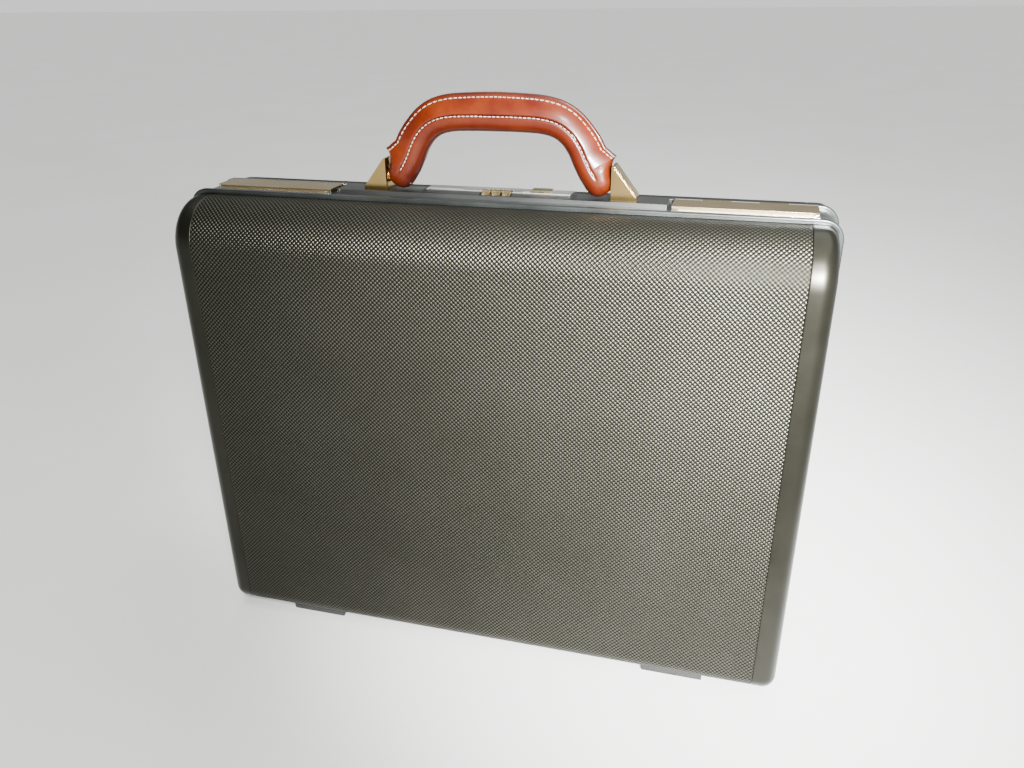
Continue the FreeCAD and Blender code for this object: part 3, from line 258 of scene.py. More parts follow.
def metal(name, dull, bright, roughness):
    """A metal with fine drawn lines, which change slowly along x and fast along y and z."""
    start, feed = finish(name, Metallic=1.0)
    coordinates, _ = place_on(start)
    lines = start.node("Mapping", {}, {"Vector": coordinates, "Scale": DRAWN})
    drawn = cloud(start, lines, 1.0, 2)
    stain = cloud(start, coordinates, 18, 3)
    feed(
        Base_Color=stain.between(0.3, 0.7).blend(dull, bright),
        Roughness=roughness - 0.04 + 0.06 * drawn + 0.05 * stain,
        Normal=relief(start, drawn, DRAWN_DEPTH),
    )


metal("plated_steel", (0.42, 0.42, 0.41), (0.56, 0.56, 0.54), 0.26)
metal("satin_plate", (0.55, 0.55, 0.53), (0.68, 0.68, 0.66), 0.34)
metal("name_plate", (0.62, 0.62, 0.60), (0.74, 0.74, 0.72), 0.28)
metal("housing", (0.085, 0.088, 0.086), (0.125, 0.128, 0.124), 0.36)
metal("bright_strike", (0.72, 0.72, 0.71), (0.84, 0.84, 0.82), 0.14)
metal("champagne_gold", (0.66, 0.51, 0.27), (0.78, 0.63, 0.37), 0.24)
metal("brass", (0.40, 0.26, 0.09), (0.58, 0.41, 0.17), 0.17)
metal("gilt_button", (0.48, 0.40, 0.24), (0.62, 0.53, 0.34), 0.20)
metal("dial", (0.26, 0.20, 0.09), (0.40, 0.31, 0.16), 0.30)
metal("handle_core", (0.36, 0.36, 0.36), (0.46, 0.46, 0.46), 0.38)

# %% Anodised frame
start, feed = finish("dark_frame", Metallic=0.75, Coat_Weight=0.35, Coat_Roughness=0.1)
coordinates, _ = place_on(start)
lines = start.node("Mapping", {}, {"Vector": coordinates, "Scale": ROLLED})
drawn = cloud(start, lines, 1.0, 2)
rub = cloud(start, coordinates, 30, 6)
feed(
    Base_Color=rub.between(0.35, 0.8).blend((0.016, 0.019, 0.018), (0.042, 0.047, 0.045)),
    Roughness=0.24 + 0.12 * drawn + 0.08 * rub,
    Normal=relief(start, drawn, 0.01 * MM),
)

# %% [markdown]
# ## Rubber, moulded plastic, cloth and leather
#
# Rubber and plastic are a fine stipple. The lining is a twill: its ribs run slantwise, so
# one wave of x + y + z draws them on every wall. Leather is a net of small cells with
# finer grain in them. On the handle a darker tone is painted in as shade along the seam,
# under the roll and below the seam, and it also darkens the stitched edge and the ends.


# %% Soft and moulded finishes
def moulded(name, dark, light, roughness, depth):
    """Moulded plastic or rubber: a fine stipple with a little dust on it."""
    start, feed = finish(name)
    coordinates, _ = place_on(start)
    stipple = cloud(start, coordinates, 1800, 2)
    dust = cloud(start, coordinates, 35, 6)
    feed(
        Base_Color=dust.between(0.35, 0.8).blend(dark, light),
        Roughness=roughness + 0.12 * dust,
        Normal=relief(start, stipple, depth * MM),
    )


moulded("feet", (0.014, 0.014, 0.014), (0.032, 0.032, 0.031), 0.55, 0.03)
moulded("seal", (0.010, 0.010, 0.010), (0.020, 0.020, 0.020), 0.6, 0.02)
moulded("lock_cover", (0.020, 0.020, 0.021), (0.034, 0.034, 0.034), 0.45, 0.02)

TWILL = 2 * math.pi / (1.4 * MM)
start, feed = finish("lining", Sheen_Weight=0.3, Sheen_Roughness=0.5)
coordinates, (x, y, z) = place_on(start)
rib = ((x + y + z) * TWILL).sin()
thread = ((x - z + 0.5 * y) * (TWILL * 1.5)).sin()
twill = (0.5 + 0.35 * rib + 0.15 * thread).between(0.0, 1.0)
lint = cloud(start, coordinates, 45, 5)
feed(
    Base_Color=twill.blend((0.030, 0.026, 0.022), lint.blend((0.075, 0.066, 0.056), (0.105, 0.094, 0.080))),
    Roughness=0.86 - 0.08 * twill,
    Normal=relief(start, twill, 0.25 * MM),
)


def leather(name, pore_and_painted_shade, body, worn, roughness, cells, depth, mask=None, **uniform):
    """Leather: cells of this many to a metre, blotches of two tones, and a third, darker tone in its pores
    and, where a mask given per point is high, as painted shade.
    """
    start, feed = finish(name, **uniform)
    coordinates, _ = place_on(start)
    cell = start.node("TexVoronoi", {}, {"Vector": coordinates, "Scale": cells, "Randomness": 0.9})
    pore = cloud(start, coordinates, cells * 3, 3)
    blotch = cloud(start, coordinates, 28, 4)
    tone = blotch.between(0.35, 0.65).blend(body, worn)
    if mask:
        # The mask blends the leather towards its darkest tone: painted shade, and a darker stitched edge.
        shade = start.node("Attribute", {"attribute_name": mask}, {}, output=2)
        tone = shade.blend(tone, pore_and_painted_shade)
    grain = cell.between(0.0, 0.6) * 0.7 + pore * 0.3
    feed(
        Base_Color=(0.25 * (1 - grain)).blend(tone, pore_and_painted_shade),
        Roughness=roughness + 0.1 * pore + 0.06 * blotch,
        Normal=relief(start, grain, depth * MM),
    )


# The first colour is the dark tone of the pores and of the painted shade.
leather(
    "handle_leather", (0.010, 0.0009, 0.0004), (0.042, 0.0031, 0.0003), (0.085, 0.0115, 0.0009),
    0.27, 1500, 0.02, mask="crease", Specular_IOR_Level=0.25, Coat_Weight=0.16, Coat_Roughness=0.10,
)
leather(
    "organiser", (0.012, 0.009, 0.007), (0.050, 0.036, 0.027), (0.070, 0.052, 0.040),
    0.46, 900, 0.06, Coat_Weight=0.1, Coat_Roughness=0.3,
)

start, feed = finish("thread", Sheen_Weight=0.3)
coordinates, (x, y, z) = place_on(start)
strand = ((x + z - y) * (2 * math.pi / (0.5 * MM))).sin()
soil = cloud(start, coordinates, 60, 3)
feed(
    Base_Color=soil.between(0.35, 0.75).blend((0.44, 0.35, 0.28), (0.24, 0.12, 0.07)),
    Roughness=0.7 + 0.1 * soil,
    Normal=relief(start, strand, 0.05 * MM),
)
print(len(FINISH), "finishes")

# %% [markdown]
# ## From arrays to meshes
#
# Every new piece is a grid of points that numpy works out at once. These helpers number a
# grid's quads, make a mesh of them, turn its faces outwards, put the piece on its body, slot
# and finish, draw round threads, and lead a smooth line through a few points.


# %% Mesh helpers
SAME_PLACE = 1e-6


def quads(rows, columns, closed_rows=False, closed_columns=False, first=0):
    """The corner numbers of the quads of a grid, which may close on itself either way."""
    number = first + np.arange(rows * columns).reshape(rows, columns)
    if closed_rows:
        number = np.vstack([number, number[:1]])
    if closed_columns:
        number = np.hstack([number, number[:, :1]])
    corners = (number[:-1, :-1], number[1:, :-1], number[1:, 1:], number[:-1, 1:])
    return np.stack([c.ravel() for c in corners], axis=1)


def make(name, points, faces, smooth_below=35):
    """A mesh object from points in metres and lists of faces, smooth but for its corners."""
    mesh = bpy.data.meshes.new(name)
    corners = [list(map(int, face)) for face in faces]
    mesh.from_pydata(np.asarray(points).reshape(-1, 3).tolist(), [], corners)
    mesh.update()
    mesh.shade_smooth()
    mesh.set_sharp_from_angle(angle=math.radians(smooth_below))
    piece = bpy.data.objects.new(name, mesh)
    bpy.context.scene.collection.objects.link(piece)
    return piece


def outwards(piece):
    """Merges the doubles of a closed mesh and turns its faces outwards."""
    form = bmesh.new()
    form.from_mesh(piece.data)
    bmesh.ops.remove_doubles(form, verts=form.verts, dist=SAME_PLACE)
    bmesh.ops.recalc_face_normals(form, faces=form.faces)
    form.to_mesh(piece.data)
    form.free()
    return piece


def settle(piece, node, look=None, stands_for=True):
    """Puts a piece on the body and slot of a CAD node, which it may stand for."""
    piece.data.materials.clear()
    piece.data.materials.append(FINISH[look or SLOT_OF[node]])
    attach(piece, BODY_OF[node])
    if stands_for:
        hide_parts(node)
    return piece


def threads(name, lines, radius, sides, level):
    """Round threads along lines of shape (how many, points, 3), closed at both ends.

    A ring's point is the line's point plus radius times (cosine * one side + sine * the
    other), where the two sides stand square to the line and to each other.
    """
    lines = np.asarray(lines)
    ahead = np.gradient(lines, axis=1)
    ahead /= np.linalg.norm(ahead, axis=2, keepdims=True)
    side = np.cross(ahead, level)
    side /= np.linalg.norm(side, axis=2, keepdims=True)
    other = np.cross(side, ahead)
    turn = np.linspace(0, 2 * np.pi, sides, endpoint=False)
    wide = np.broadcast_to(radius, lines.shape[1])[None, :, None, None]
    ring = np.cos(turn)[:, None] * side[:, :, None] + np.sin(turn)[:, None] * other[:, :, None]
    points = lines[:, :, None] + wide * ring
    count, length = lines.shape[:2]
    faces = []
    for i in range(count):
        first = i * length * sides
        faces += quads(length, sides, closed_columns=True, first=first).tolist()
        faces.append(range(first, first + sides))
        faces.append(range(first + length * sides - 1, first + (length - 1) * sides - 1, -1))
    return outwards(make(name, points, faces))


def through(points, count):
    """Points on a smooth line through the given ones: this many, or at these shares of it.

    Between two points the line is a cubic whose slope at each is half the step between its
    two neighbours; it is then spaced again by its length.
    """
    given = np.asarray(points, float)
    longer = np.vstack([2 * given[0] - given[1], given, 2 * given[-1] - given[-2]])
    place = np.linspace(0, len(given) - 1, 40 * len(given))
    at = np.minimum(place.astype(int), len(given) - 2)
    t = (place - at)[:, None]
    a, b, c, d = (longer[at + k] for k in range(4))
    line = b + 0.5 * t * (c - a + t * (2 * a - 5 * b + 4 * c - d + t * (3 * (b - c) + d - a)))
    length = np.concatenate([[0], np.cumsum(np.linalg.norm(np.diff(line, axis=0), axis=1))])
    even = np.linspace(0, 1, count) * length[-1] if np.isscalar(count) else count * length[-1]
    return np.stack([np.interp(even, length, line[:, k]) for k in range(line.shape[1])], axis=1)


# %% [markdown]
# ## The two embossed shells
#
# Each shell is one sheet, bent over a large radius at the top and a small one at the foot.
# A wave displaced by a modifier would need millions of faces. The lozenges repeat every
# two steps of the grid, so a grid of half a pitch holds each lozenge and gap as one
# point, and the finish rounds them off.

# %% Bend and emboss the sheets
UPPER_EDGE = 33 * MM
LOWER_EDGE = 14 * MM
SHEET = 2 * MM
HALF_PITCH = 1.58 * MM
EMBOSSING = 0.24 * MM
QUARTER = math.pi / 2


def shell_length(depth, tall):
    """How long a shell's outline is from its upper lip to its lower lip."""
    flats = depth - UPPER_EDGE + tall - UPPER_EDGE - LOWER_EDGE + depth - LOWER_EDGE
    return flats + QUARTER * (UPPER_EDGE + LOWER_EDGE)


def shell_line(s, depth, tall):
    """Reach from the lip, drop from the top, and the outward direction, at length s.

    The line runs straight over the top, turns a quarter circle, drops down the face, turns a
    smaller quarter circle and comes back underneath. Each stretch adds its own clipped part
    of s, so the whole line is one sum.
    """
    over = depth - UPPER_EDGE
    face = tall - UPPER_EDGE - LOWER_EDGE
    face_from = over + QUARTER * UPPER_EDGE
    foot_from = face_from + face
    upper = np.clip((s - over) / UPPER_EDGE, 0, QUARTER)
    lower = np.clip((s - foot_from) / LOWER_EDGE, 0, QUARTER)
    under = np.clip(s - foot_from - QUARTER * LOWER_EDGE, 0, None)
    reach = np.clip(s, 0, over) + UPPER_EDGE * np.sin(upper) - LOWER_EDGE * (1 - np.cos(lower)) - under
    drop = UPPER_EDGE * (1 - np.cos(upper)) + np.clip(s - face_from, 0, face)
    drop = drop + LOWER_EDGE * np.sin(lower)
    return reach, drop, np.sin(upper + lower), np.cos(upper + lower)


class Shell:
    """The lid's or the base's half of the case, measured from its CAD panel."""

    def __init__(self, name):
        low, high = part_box(name + "_panel")
        self.name = name
        self.towards = -1 if name == "lid" else 1
        self.lip = high[1] if name == "lid" else low[1]
        self.face = low[1] if name == "lid" else high[1]
        self.depth = abs(self.face - self.lip)
        self.top, self.tall = high[2], high[2] - low[2]
        self.half_width = high[0]
        self.length = shell_length(self.depth, self.tall)

    def surface(self, x, s, inset):
        """Points at x and length s, this far inside the outer face."""
        reach, drop, out, up = shell_line(s, self.depth, self.tall)
        y = self.lip + self.towards * (reach - inset * out)
        z = self.top - drop - inset * up
        return np.stack(np.broadcast_arrays(x, y, z), axis=-1)


def embossed_panel(shell):
    """A shell's sheet, embossed outside and plain inside, with its four edges closed."""
    wide = round(2 * shell.half_width / HALF_PITCH)
    long = round(shell.length / HALF_PITCH)
    i, j = np.meshgrid(np.arange(wide + 1), np.arange(long + 1), indexing="ij")
    x = (i / wide * 2 - 1) * shell.half_width
    height = np.cos(np.pi * i) * np.cos(np.pi * j)
    edge = (i == 0) | (i == wide) | (j == 0) | (j == long)
    inset = np.where(edge, EMBOSSING, (1 - height) * EMBOSSING / 2)
    outer = shell.surface(x, j / long * shell.length, inset)
    plain = 48
    back = np.linspace(0, shell.length, plain)
    inner = shell.surface(np.array([[-shell.half_width], [shell.half_width]]), back[None], SHEET)
    number = np.arange(outer.shape[0] * outer.shape[1]).reshape(outer.shape[:2])
    behind = number.size + np.arange(2 * plain).reshape(2, plain)
    faces = quads(wide + 1, long + 1).tolist() + quads(2, plain, first=number.size)[:, ::-1].tolist()
    for side in (0, -1):
        faces.append([*number[side], *behind[side][::-1]])
        faces.append([*number[:, side], behind[1, side], behind[0, side]])
    points = np.vstack([outer.reshape(-1, 3), inner.reshape(-1, 3)])
    piece = make(shell.name + "_embossed_panel", points, faces)
    pitches = np.zeros((len(points), 2))
    pitches[: number.size] = np.stack([i.ravel(), j.ravel()], axis=1) / 2
    corner = np.empty(len(piece.data.loops), int)
    piece.data.loops.foreach_get("vertex_index", corner)
    layer = piece.data.uv_layers.new(name="pitches")
    layer.uv.foreach_set("vector", pitches[corner].ravel())
    return outwards(piece)


SHELLS = [Shell("lid"), Shell("base")]
for shell in SHELLS:
    panel = settle(embossed_panel(shell), shell.name + "_panel")
    print(panel.name, len(panel.data.polygons), "faces, sheet", round(shell.length / MM), "mm long")

# %% [markdown]
# ## The satin end caps
#
# A cap is the shell's outline carried along a short section: a groove against the embossed
# sheet, a flat band, then a quarter circle into the flat end wall. Offsetting the outline
# inwards by each station's inset keeps the section the same all the way round.

# %% Carry the outline along the cap's section
CAP_EDGE = 10 * MM
CAP_WALL = 1.6 * MM


def cap_stations(inner, outer):
    """Distances from the middle and insets of a cap's section, from the groove to the end wall."""
    turn = np.linspace(0, QUARTER, 12)
    groove_out = inner + np.array([0.10, 0.22, 0.45, 0.80, 1.30]) * MM
    groove_in = np.array([1.50, 0.60, 0.22, 0.05, 0.0]) * MM
    out = np.concatenate([groove_out, outer - CAP_EDGE + CAP_EDGE * np.sin(turn)])
    return out, np.concatenate([groove_in, CAP_EDGE * (1 - np.cos(turn))])


def end_cap(shell, side):
    """One cap: rows along the outline, columns along the section, and a flat end wall."""
    node = f"{shell.name}_end_cap_{'left' if side < 0 else 'right'}"
    low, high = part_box(node)
    out, inset = cap_stations(shell.half_width, max(abs(low[0]), abs(high[0])))
    upper = shell.depth - UPPER_EDGE
    foot = shell.length - (shell.depth - LOWER_EDGE) - QUARTER * LOWER_EDGE
    stretches = [(0, upper, 4), (upper, upper + QUARTER * UPPER_EDGE, 25)]
    stretches += [(upper + QUARTER * UPPER_EDGE, foot, 9), (foot, foot + QUARTER * LOWER_EDGE, 15)]
    stretches += [(foot + QUARTER * LOWER_EDGE, shell.length, 4)]
    s = np.concatenate([np.linspace(a, b, n, endpoint=False) for a, b, n in stretches] + [[shell.length]])
    points = shell.surface(side * out[None], s[:, None], inset[None])
    faces = quads(len(s), len(out)).tolist()
    faces.append(range(len(out) - 1, len(s) * len(out), len(out)))
    piece = outwards(make(node + "_satin", points, faces, 50))
    middle = piece.data.polygons[len(faces) // 2]
    if np.dot(middle.normal, np.array(middle.center) - (0, (low[1] + high[1]) / 2, shell.top / 2)) < 0:
        piece.data.flip_normals()
    wall = piece.modifiers.new("wall", "SOLIDIFY")
    wall.thickness, wall.offset = CAP_WALL, -1
    return settle(piece, node)


for shell in SHELLS:
    for side in (-1, 1):
        cap = end_cap(shell, side)

# %% [markdown]
# ## Frame and fittings with broken edges
#
# No metal edge is truly sharp: a narrow rounding catches the light and shows where a part
# ends. The frame's nodes already have the right shape, so each is copied, its triangles
# are merged into flat faces, and a Bevel rounds the edges that turn by more than its angle.


# %% Ease the edges of a copied node
CORNER = math.radians(32)
FLAT = math.radians(0.6)


def eased(node, width):
    """A merged copy of a node, its corners rounded by this many millimetres, standing for it."""
    form = bmesh.new()
    form.from_mesh(frame["nodes"][node].data)
    bmesh.ops.remove_doubles(form, verts=form.verts, dist=2 * SAME_PLACE)
    bmesh.ops.dissolve_limit(form, angle_limit=FLAT, verts=form.verts, edges=form.edges)
    mesh = bpy.data.meshes.new(node + "_eased")
    form.to_mesh(mesh)
    form.free()
    piece = bpy.data.objects.new(node + "_eased", mesh)
    bpy.context.scene.collection.objects.link(piece)
    mesh.shade_smooth()
    mesh.set_sharp_from_angle(angle=CORNER)
    rounding = piece.modifiers.new("rounding", "BEVEL")
    rounding.width, rounding.segments = width * MM, 2
    rounding.limit_method, rounding.angle_limit = "ANGLE", CORNER
    rounding.harden_normals = True
    return settle(piece, node)


EASED = {
    0.45: ["handle_bracket_left", "handle_bracket_right"],
    0.35: ["base_feet", "lid_feet", "lock_housing", "lock_cover"],
    0.30: ["latch_plate_left", "latch_plate_right", "base_frame", "lid_frame"],
    0.20: ["strike_left", "strike_right", "release_button", "base_lining", "lid_lining"],
    0.15: [
        "lock_plate", "lock_bar", "latch_hinge_left", "latch_hinge_right",
        "base_hinge_leaf_left", "base_hinge_leaf_right", "lid_hinge_leaf_left", "lid_hinge_leaf_right",
        "base_stay_bracket_left", "base_stay_bracket_right", "lid_stay_bracket_left",
        "lid_stay_bracket_right", "base_stay_arm_left", "base_stay_arm_right", "lid_stay_arm_left",
        "lid_stay_arm_right", "handle_bushings", "bracket_screws",
    ],
    0.08: ["name_plate", "base_hinge_rivets", "lid_hinge_rivets", "frame_seal"],
}
for width, nodes in EASED.items():
    for node in nodes:
        eased(node, width)
print(sum(map(len, EASED.values())), "fittings eased")

# %% [markdown]
# ## The leather handle
#
# Two pieces of leather are wrapped round a core. Along the inside they make a full round
# roll; towards the outside they draw together into a thin stitched edge. So the section
# is half a circle below and a tapering crown above, carried along a bow. At each leg the
# stitched edge ends in a point, and the leather goes on, full and round, beside the bracket.

# %% The section and the bow
ROLL = 9.2
HANDLE_MIDDLE = 2.0
SHELL_TOP = SHELLS[1].top / MM
LEG = [
    (70.4, 13.8), (65.6, 20.8), (61.4, 28.8), (57.4, 37.2),
    (51.6, 45.0), (43.2, 50.8), (32.0, 53.7), (17.0, 54.5),
]
BOW = [(-x, z) for x, z in LEG] + [(0, 54.6)] + LEG[::-1]
TIP = 0.885
FULL_FROM = 0.94
TAPER, FULL = 1.7, 4.0
BRACKET_GAP = 79.7
BRACKET_TOP = 27.0
SEAM, SEAM_DEPTH, SEAM_WIDTH, SEAM_END = 2.0, 1.1, 0.75, 0.93
EDGE = 1.5
STITCH_FROM_EDGE = 3.1


def crown(place):
    """How far the edge stands from the roll's centre, at a place from -1 to 1 on the bow.

    Past the pointed tip it stays wide enough to lie against the bracket, and then draws in.
    """
    places = [0, 0.45, 0.62, 0.78, TIP, TIP + 0.02, 0.95, 1.0]
    reaches = [16.6, 15.6, 14.6, 15.8, 20.0, 17.4, 14.2, 11.4]
    return np.interp(np.abs(place), places, reaches)


def half_width(q, reach, fullness=TAPER):
    """Half the handle's thickness at q from the roll's centre.

    Below the centre it is a circle's. Above, it falls as 1 - (q / reach) ** fullness, but not
    below the two leathers of the edge, which end in a half round.
    """
    circle = np.sqrt(np.clip(ROLL**2 - q**2, 0, None))
    taper = ROLL * np.clip(1 - np.clip(q / reach, 0, 1) ** fullness, 0, 1) ** 0.92
    rim = EDGE * np.sqrt(np.clip(1 - np.clip((q - reach + EDGE) / EDGE, 0, 1) ** 2, 0, 1))
    return np.where(q < 0, circle, np.maximum(taper, rim))


def bow_frame(place):
    """Centre, direction and outward direction of the bow at places from -1 to 1."""
    fine = np.linspace(-1, 1, 801)
    line = through(BOW, (fine + 1) / 2)
    ahead = np.gradient(line, axis=0)
    ahead /= np.linalg.norm(ahead, axis=1, keepdims=True)
    centre, along = (
        np.stack([np.interp(place, fine, part[:, k]) for k in (0, 1)], axis=-1)
        for part in (line, ahead)
    )
    return centre, along, np.stack([-along[..., 1], along[..., 0]], axis=-1)


# %% Wrap the leather
def handle_cover():
    """The cover's grid: stations along the bow by a ring round the section, with domed ends.

    Below the bracket's top nothing passes the gap between the brackets, so the legs lie flat
    against them.
    """
    near_tip = TIP + np.array([-0.03, -0.018, -0.008, 0.0, 0.006, 0.013, 0.022, 0.035, 0.05])
    arm = np.concatenate([np.linspace(0, TIP - 0.04, 80), near_tip, np.linspace(TIP + 0.065, 1, 6)])
    dome = np.radians([14, 28, 42, 55, 67, 77, 85])
    place = np.concatenate([-np.ones(len(dome)), -arm[:0:-1], arm, np.ones(len(dome))])
    turn = np.concatenate([-dome[::-1], np.zeros(2 * len(arm) - 1), dome])
    centre, along, out = bow_frame(place)
    reach = crown(place)[:, None]
    fullness = np.interp(np.abs(place), [TIP, FULL_FROM], [TAPER, FULL])[:, None]
    low = np.radians(np.linspace(-90, 0, 18))
    high = np.linspace(0, QUARTER, 50)[1:]
    q = np.concatenate([ROLL * np.sin(low) + 0 * reach, reach * np.sin(high)], axis=1)
    p = half_width(q, reach, fullness)
    sewn = 1 - np.clip((np.abs(place) - SEAM_END) / 0.05, 0, 1)[:, None]
    seam = np.exp(-(((q - SEAM) / SEAM_WIDTH) ** 2)) * sewn
    p = p - SEAM_DEPTH * seam * (p > 2)
    shrink, push = np.cos(turn)[:, None], ROLL * np.sin(turn)[:, None]
    q = np.concatenate([q, q[:, -2:0:-1]], axis=1) * shrink
    p = np.concatenate([p, -p[:, -2:0:-1]], axis=1) * shrink
    x = centre[:, :1] + out[:, :1] * q + along[:, :1] * push
    z = centre[:, 1:] + out[:, 1:] * q + along[:, 1:] * push
    x = np.where(z < BRACKET_TOP, np.clip(x, -BRACKET_GAP, BRACKET_GAP), x)
    points = np.stack([x, HANDLE_MIDDLE + p, z + SHELL_TOP], axis=-1) * MM
    rows, ring = q.shape
    faces = quads(rows, ring, closed_columns=True).tolist()
    faces += [range(ring - 1, -1, -1), range((rows - 1) * ring, rows * ring)]
    piece = outwards(make("handle_leather_cover", points, faces, 60))
    # A mask for the leather's darkest tone: painted shade in the seam groove, under the roll and below the
    # seam, plus a darker stitched edge and darker leg ends and domed ends.
    edge = np.clip((q - reach + 2.6) / 1.6, 0, 1)
    ends = np.clip((np.abs(place) - 0.8) / 0.35, 0, 1) + 0.4 * np.abs(np.sin(turn))
    under = np.clip((-q - 1.5) / 8, 0, 1)
    seam = np.concatenate([seam, seam[:, -2:0:-1]], axis=1)
    crease = 0.85 * seam + 0.60 * edge + 0.40 * ends[:, None] + 0.45 * under + 0.22 * (q < SEAM)
    crease = np.clip(crease, 0, 1)
    layer = piece.data.attributes.new("crease", "FLOAT", "POINT")
    layer.data.foreach_set("value", crease.ravel().astype(np.float32))
    return piece


cover = settle(handle_cover(), "handle_cover")
print("handle cover", len(cover.data.polygons), "faces")

# %% [markdown]
# ## Saddle stitches
#
# Each stitch is a short thread, thick in its middle and sunk at its ends. They are threads
# along very short lines, so all the stitches of a row are one mesh. One row follows the
# seam and one the thin edge, on both faces of the handle.


# %% Sew the handle
SPACING = 3.0
THICK = 0.36
SINK = 0.25
STITCH_SHARE = 0.74
SEAM_STITCH = SEAM - 0.55


def stitch_row(name, end, height, sunk):
    """Stitches on both faces, out to this place on each leg, at the height height(place).

    They lie on the leather, less how deep they are sunk in it.
    """
    line = through(BOW, 400)
    whole = np.linalg.norm(np.diff(line, axis=0), axis=1).sum()
    count = round(end * whole / SPACING)
    middles = np.linspace(-end, end, count)
    part = np.linspace(-0.5, 0.5, 7)
    place = middles[:, None] + part[None] * (2 * end) / count * STITCH_SHARE
    centre, _, out = bow_frame(place)
    q = height(place)
    p = half_width(q, crown(place)) - sunk + THICK * 0.45 - SINK * (2 * part[None]) ** 2
    swell = np.array([0.55, 0.85, 1.0, 1.0, 1.0, 0.85, 0.55]) * THICK * MM
    x = centre[..., 0] + out[..., 0] * q
    z = centre[..., 1] + out[..., 1] * q + SHELL_TOP
    rows = [np.stack([x, HANDLE_MIDDLE + face * p, z], axis=-1) * MM for face in (-1, 1)]
    piece = threads(name, np.concatenate(rows), swell, 6, (0, 1, 0))
    settle(piece, "handle_cover", "thread", stands_for=False)
    return count


upper = stitch_row(
    "handle_edge_stitches", TIP - 0.012, lambda place: crown(place) - STITCH_FROM_EDGE, 0.0
)
lower = stitch_row("handle_seam_stitches", FULL_FROM, lambda place: 0 * place + SEAM_STITCH, 0.45)
print(upper, "stitches on the edge and", lower, "on the seam, each side")

# %% [markdown]
# ## Numbered tumblers
#
# A tumbler is a short barrel with a fine tooth at every few degrees on its rims. Its radius
# is a function of the angle and the place along the axle. The numerals are text, made into
# meshes and wrapped onto the barrel: the height of a letter becomes an angle.

# %% Turn the tumblers
TEETH = 30
TOOTH = 0.28 * MM
NUMERAL = 3.4 * MM
PROUD = 0.08 * MM
SUNK = 0.955


def tumbler(node):
    """A barrel whose rims are toothed; returns its middle and radius for its numerals."""
    low, high = (np.array(v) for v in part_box(node))
    middle, radius, half = (low + high) / 2, (high[2] - low[2]) / 2, (high[0] - low[0]) / 2
    across = np.array([-1, -1, -0.93, -0.62, -0.56, 0.56, 0.62, 0.93, 1, 1])
    inset = np.array([0.72, 0.06, 0, 0, 0.05, 0.05, 0, 0, 0.06, 0.72])
    toothed = np.array([0, 1, 1, 1, 0, 0, 1, 1, 1, 0])
    turn = np.linspace(0, 2 * np.pi, TEETH * 8, endpoint=False)[None]
    notch = np.clip(np.cos(turn * TEETH) * 1.6, -1, 1) * 0.5 + 0.5
    r = radius * (1 - inset[:, None]) - TOOTH * notch * toothed[:, None]
    x = middle[0] + half * across[:, None] + 0 * turn
    points = np.stack([x, middle[1] + r * np.cos(turn), middle[2] + r * np.sin(turn)], axis=-1)
    rows, ring = r.shape
    faces = quads(rows, ring, closed_rows=True, closed_columns=True)
    settle(outwards(make(node + "_barrel", points, faces)), node)
    return middle, radius


def numerals(node, middle, radius):
    """0 to 9 round a tumbler, each standing a little proud of the barrel."""
    kept = []
    for digit in range(10):
        words = bpy.data.curves.new("numeral", "FONT")
        words.body, words.size, words.extrude = str(digit), NUMERAL, PROUD
        words.align_x, words.align_y = "CENTER", "CENTER"
        words.resolution_u = 3
        letter = bpy.data.objects.new("numeral", words)
        mesh = bpy.data.meshes.new_from_object(letter)
        flat = np.empty(len(mesh.vertices) * 3)
        mesh.vertices.foreach_get("co", flat)
        flat = flat.reshape(-1, 3)
        turn = QUARTER + 2 * np.pi * digit / 10 - flat[:, 1] / radius
        r = radius * SUNK + flat[:, 2]
        wrapped = middle + np.stack([flat[:, 0], r * np.cos(turn), r * np.sin(turn)], axis=1)
        kept.append((wrapped, [list(face.vertices) for face in mesh.polygons]))
        bpy.data.objects.remove(letter)
        bpy.data.curves.remove(words)
        bpy.data.meshes.remove(mesh)
    starts = np.cumsum([0] + [len(points) for points, _ in kept])
    faces = [[v + starts[n] for v in face] for n, (_, found) in enumerate(kept) for face in found]
    piece = outwards(make(node + "_numerals", np.vstack([points for points, _ in kept]), faces))
    return settle(piece, node, "seal", stands_for=False)


for node in ("dial_1", "dial_2", "dial_3"):
    middle, radius = tumbler(node)
    numerals(node, middle, radius)
    print(node, "radius", round(radius / MM, 2), "mm")

# %% [markdown]
# ## The release spring
#
# A coil spring is a helix with its end turns close together. Its line is a circle that
# moves along an axis, and a thread along that line is the wire.

# %% Wind the spring
low, high = (np.array(v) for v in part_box("release_spring"))
WIRE = 0.3 * MM
COILS = 7
turn = np.linspace(0, 2 * np.pi * COILS, COILS * 20 + 1)
part = np.linspace(0, 1, len(turn))
coil = (high[2] - low[2]) / 2 - WIRE
line = np.stack(
    [
        low[0] + WIRE + (high[0] - low[0] - 2 * WIRE) * part,
        (low[1] + high[1]) / 2 + coil * np.cos(turn),
        (low[2] + high[2]) / 2 + coil * np.sin(turn),
    ],
    axis=1,
)
spring = threads("release_spring_coil", line[None], WIRE, 10, (1, 0, 0))
settle(spring, "release_spring")
print("spring of", COILS, "turns")

# %% [markdown]
# ## The organiser in the lid
#
# Inside the lid hangs a board with pockets. It is a stack of thin plates with rounded
# corners, each a little lower than the one behind, so their upper edges are the pocket
# mouths. A row of stitches follows each edge. Cloth could be simulated for the pockets, but
# they are stiff, flat and empty, so plates show them as well.

# %% Cut and stack the pockets
HEM_SPACING = 3.2 * MM
HEM_INSET = 2.2 * MM
HEM_THICK = 0.24 * MM
POCKET_CORNER = 9 * MM
POCKET_EDGE = 0.35 * MM


